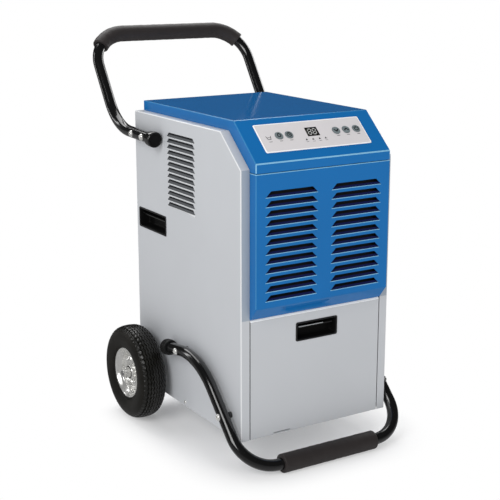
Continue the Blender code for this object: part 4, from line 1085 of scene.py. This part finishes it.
def panel_marks():
    """Outlines printed on the overlay: lamps' marks, dashes for captions and a small tank."""
    out = []
    for x in LAMPS_X:
        out.append([(x - 0.0034, -0.0172), (x + 0.0034, -0.0172), (x, -0.0114)])
        out.append(bar(x - 0.0036, -0.0218, x + 0.0036, -0.0218, 0.001))
    under = BUTTON_UP - 0.0162
    for x in (TANK_X, *BUTTONS.values()):
        out.append(bar(x - 0.0044, under, x + 0.0044, under, 0.0012))
    return out + strokes((-135, 6, -132.5, -4.5, 1.4), (-133, -4.5, -124, -4.5, 1.4),
                         (-124.5, -4.5, -122, 6, 1.4), (-132.5, 1.2, -124.5, 1.2, 1.2))


def overlay(matrix):
    bm = bmesh.new()
    top = PANEL_THICK
    steps = [(0, 0.0002, 0.004), (0, top - 0.0007, 0.004), (0.0026, top, 0.003)]
    # the overlay's edge, material index 2, takes the painted highlight
    made = loft(bm, inset_loops(PANEL_SIZE, steps), matrix, 2, cap=False)
    openings = [circle(BUTTON_RADIUS + 0.0006, 32, x, BUTTON_UP) for x in BUTTONS.values()]
    window = rounded_rect(DISPLAY_SIZE[0] + 0.0006, DISPLAY_SIZE[1] + 0.0006, 0.0012)
    openings.append([(u, v + DISPLAY_UP) for u, v in window])
    holes = [[matrix @ Vector((u, v, top)) for u, v in opening] for opening in openings]
    normal = (matrix.to_3x3() @ Vector((0, 0, 1))).normalized()
    fill_ring(bm, made[-1], holes, normal)
    face_out(bm, normal)
    for shape in panel_marks():
        flat_shape(bm, shape, matrix, top, top + 0.00012)
    make("panel_overlay", bm, [OVERLAY, PRINT, WHITE_HIGHLIGHT],
         ["control_overlay"], angle=40)


def display(matrix):
    bm = bmesh.new()
    top = PANEL_THICK + 0.0003
    steps = [(0, top - 0.0015, 0.001), (0, top - 0.0003, 0.001), (0.0003, top, 0.0008)]
    base = matrix @ Matrix.Translation((0, DISPLAY_UP, 0))
    loft(bm, inset_loops(DISPLAY_SIZE, steps), base)
    for x in DIGITS_X:
        for shape in digit_segments(x, DIGIT_HEIGHT):
            flat_shape(bm, shape, base, top, top + 0.0001)
    outward(bm)
    make("display", bm, [GLASS, SEGMENT], ["display_window"], angle=40)


def control_panel():
    matrix = panel_matrix()
    overlay(matrix)
    display(matrix)
    r, face = BUTTON_RADIUS, PANEL_THICK + 0.0017
    profile = [(r, face - 0.0052), (r, face - 0.0008), (r - 0.0003, face - 0.0002),
               (r - 0.001, face), (r - 0.0024, face - 0.00015), (0.0001, face - 0.0002)]
    for name, x in BUTTONS.items():
        bm = bmesh.new()
        spot = matrix @ Matrix.Translation((x, BUTTON_UP, 0))
        lathe(bm, profile, spot, 48)
        for shape in SYMBOLS[name]:
            flat_shape(bm, shape, spot, face - 0.0002, face + 0.0001)
        outward(bm)
        make(f"{name}_key", bm, [BUTTON, PRINT], [f"{name}_button"],
             f"{name}_button", angle=40)


# ---- fan and rear fittings
def fan():
    """Five swept, twisted blades on a rounded hub."""
    low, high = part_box("fan_impeller")
    hub, steps = FAN_HUB, 8
    matrix = turn_to((0, -1, 0), Vector((0, ((low + high) / 2).y, FAN_Z)))
    profile = [(0.0056, -0.013), (hub - 0.001, -0.013), (hub, -0.012), (hub, 0.008),
               (hub - 0.004, 0.0125), (0.012, 0.014), (0.0056, 0.014)]
    bm = bmesh.new()
    lathe(bm, profile, matrix, 48)
    for blade in range(FAN_BLADES):
        rows = []
        for k in range(steps + 1):
            share = k / steps
            radius = hub - 0.002 + (FAN_RADIUS - hub + 0.002) * share
            pitch = radians(38 - 18 * share)
            chord = 0.055 + 0.03 * sin(pi * min(1, share * 0.8))
            sweep_back = 0.35 * share ** 1.5
            row = []
            for c in range(steps + 1):
                along = (c / steps - 0.5) * chord
                camber = 0.004 * (1 - (2 * c / steps - 1) ** 2)
                turn = tau * blade / FAN_BLADES + sweep_back + along * cos(pitch) / radius
                row.append(spun(matrix, radius, turn, along * sin(pitch) * 0.62 + camber))
            rows.append(row)
        grid(bm, rows)
    make("fan_blades", bm, [PLASTIC], ["fan_impeller"], "fan", wall=0.0018,
         angle=50)


def rear_fitting(name, node, profile, location, sides, ribs=None):
    """A turned plastic fitting that stands off the rear panel."""
    bm = bmesh.new()
    lathe(bm, profile, turn_to((0, 1, 0), location), sides, ribs=ribs)
    outward(bm)
    make(name, bm, [PLASTIC], [node], angle=35)


def rear_fittings():
    def flutes(i, k, radius):
        return radius * (0.955 if 4 <= k <= 6 and i % 6 in (0, 5) else 1)

    gland = mm((4.5, 19.8), (7.2, 19.8), (8.6, 18), (9.4, 12.2), (12.2, 11.6), (12.5, 10.4),
               (12.5, 2.8), (12, 2.1), (15, 2), (15, 0.2), (4.5, 0.2), (4.5, 19.8))
    outlet = mm((6.6, 27.8), (8.2, 28), (9, 27.2), (9, 22.5), (8.2, 22), (9, 17.5), (8.2, 17),
                (9, 12.5), (8.4, 11.8), (8.4, 3.4), (16.5, 3), (17, 2.4), (17, 0.2), (6.6, 0.2),
                (6.6, 27.8))
    rear_fitting("rear_gland", "cord_gland", gland, at(DEPTH, 0.15, -0.15), 72, flutes)
    rear_fitting("rear_outlet", "drain_outlet", outlet, at(DEPTH, 0.13, 0.15), 48)


# ---- floor, light, camera
def mixed(tree, factor, first, second):
    return add(tree, "MixShader", "Shader", {"Fac": factor, 1: first, 2: second})


def floor():
    """A pale floor that runs out into the white of the backdrop, round an oval."""
    bm = bmesh.new()
    bmesh.ops.create_grid(bm, x_segments=1, y_segments=1, size=30)
    pale = material("floor", (0.9, 0.9, 0.905), 0.9, tone=0.005, tone_scale=0.6)
    tree = pale.node_tree
    wide, deep, ahead = 0.34, 0.43, 0.05
    oval = add(tree, "Mapping", "Vector", {"Vector": add(tree, "TexCoord", "Object"),
                                           "Location": (0, ahead / deep, 0),
                                           "Scale": (1 / wide, 1 / deep, 1)})
    squared = add(tree, "VectorMath", "Vector", {0: oval, 1: oval}, operation="MULTIPLY")
    reach = add(tree, "VectorMath", "Value", {0: squared}, operation="LENGTH")
    fade = add(tree, "MapRange", "Result", {"Value": reach, "From Min": 0.5, "From Max": 1.3,
                                            "To Min": 0.17}, interpolation_type="SMOOTHSTEP")
    mirrored = add(tree, "LightPath", "Is Glossy Ray")
    power = add(tree, "MapRange", "Result", {"Value": mirrored, "To Min": 1, "To Max": 0.25})
    glow = add(tree, "Emission", "Emission", {"Color": (1, 1, 1, 1), "Strength": power})
    matt = tree.nodes["Principled BSDF"].outputs["BSDF"]
    feed(tree, tree.nodes["Material Output"], {"Surface": mixed(tree, fade, matt, glow)})
    plane = mesh_object("floor", bm, [pale])


def area_light(name, location, target, size, power, glints=True):
    data = bpy.data.lights.new(name, "AREA")
    configure(data, shape="RECTANGLE", size=size[0], size_y=size[1], energy=power)
    aim = (Vector(target) - Vector(location)).to_track_quat("-Z", "Y").to_euler()
    configure(linked(name, data), visible_glossy=glints, location=location, rotation_euler=aim)


def studio():
    """Soft lamps over a dim surround; the camera itself sees a white backdrop."""
    bpy.context.scene.view_settings.view_transform = "Standard"
    middle = (0, 0, 0.5)
    area_light("key", (-3, -1.6, 2.3), middle, (1.8, 2.2), 77)
    area_light("front", (0.4, -3.9, 1.9), middle, (2.4, 2), 41, False)
    area_light("top", (0.4, 1.7, 3.1), middle, (3, 2.4), 84)
    area_light("rim", (3.2, 1.2, 1.6), (0, 0, 0.6), (1.5, 2.6), 50)
    area_light("strip", (-2.4, 2.6, 1.6), (0, 0.3, 0.7), (0.25, 2.4), 12)
    world = bpy.data.worlds.new("studio")
    bpy.context.scene.world = world
    world.use_nodes = True
    tree = world.node_tree
    looks = (((0.97, 0.98, 1, 1), 0.3), ((1, 1, 1, 1), 0.03), ((1, 1, 1, 1), 1))
    surround, mirrored, backdrop = (
        add(tree, "Background", "Background", {"Color": colour, "Strength": strength})
        for colour, strength in looks)
    unseen = mixed(tree, add(tree, "LightPath", "Is Glossy Ray"), surround, mirrored)
    seen = mixed(tree, add(tree, "LightPath", "Is Camera Ray"), unseen, backdrop)
    feed(tree, tree.nodes["World Output"], {"Surface": seen})


def camera():
    """Fitted to the object's own points: its place, direction and lens."""
    focal, frame_width, sensor = 1168.3, 500, 36    # pixels, pixels, mm
    data = bpy.data.cameras.new("camera")
    configure(data, sensor_width=sensor, lens=focal / frame_width * sensor, clip_end=60)
    eye = linked("camera", data)
    eye.location = (-1.6165, -2.6593, 1.2468)
    eye.rotation_euler = (radians(90 - 14.1536), 0, radians(-31.6778))
    bpy.context.scene.camera = eye


for side, word in SIDES:
    side_panel(word, side)
    recessed_cup(f"{word}_grip", f"{word}_grip_cup", "cabinet", GRIP_SIZE, GRIP_DEPTH,
                 at(*GRIP_AT, side * HALF), (side, 0, 0))
rear_panel()
base_parts()
top_cover()
front_grille()
tank_door()
frames()
wheels()
control_panel()
fan()
rear_fittings()
floor()
studio()
camera()
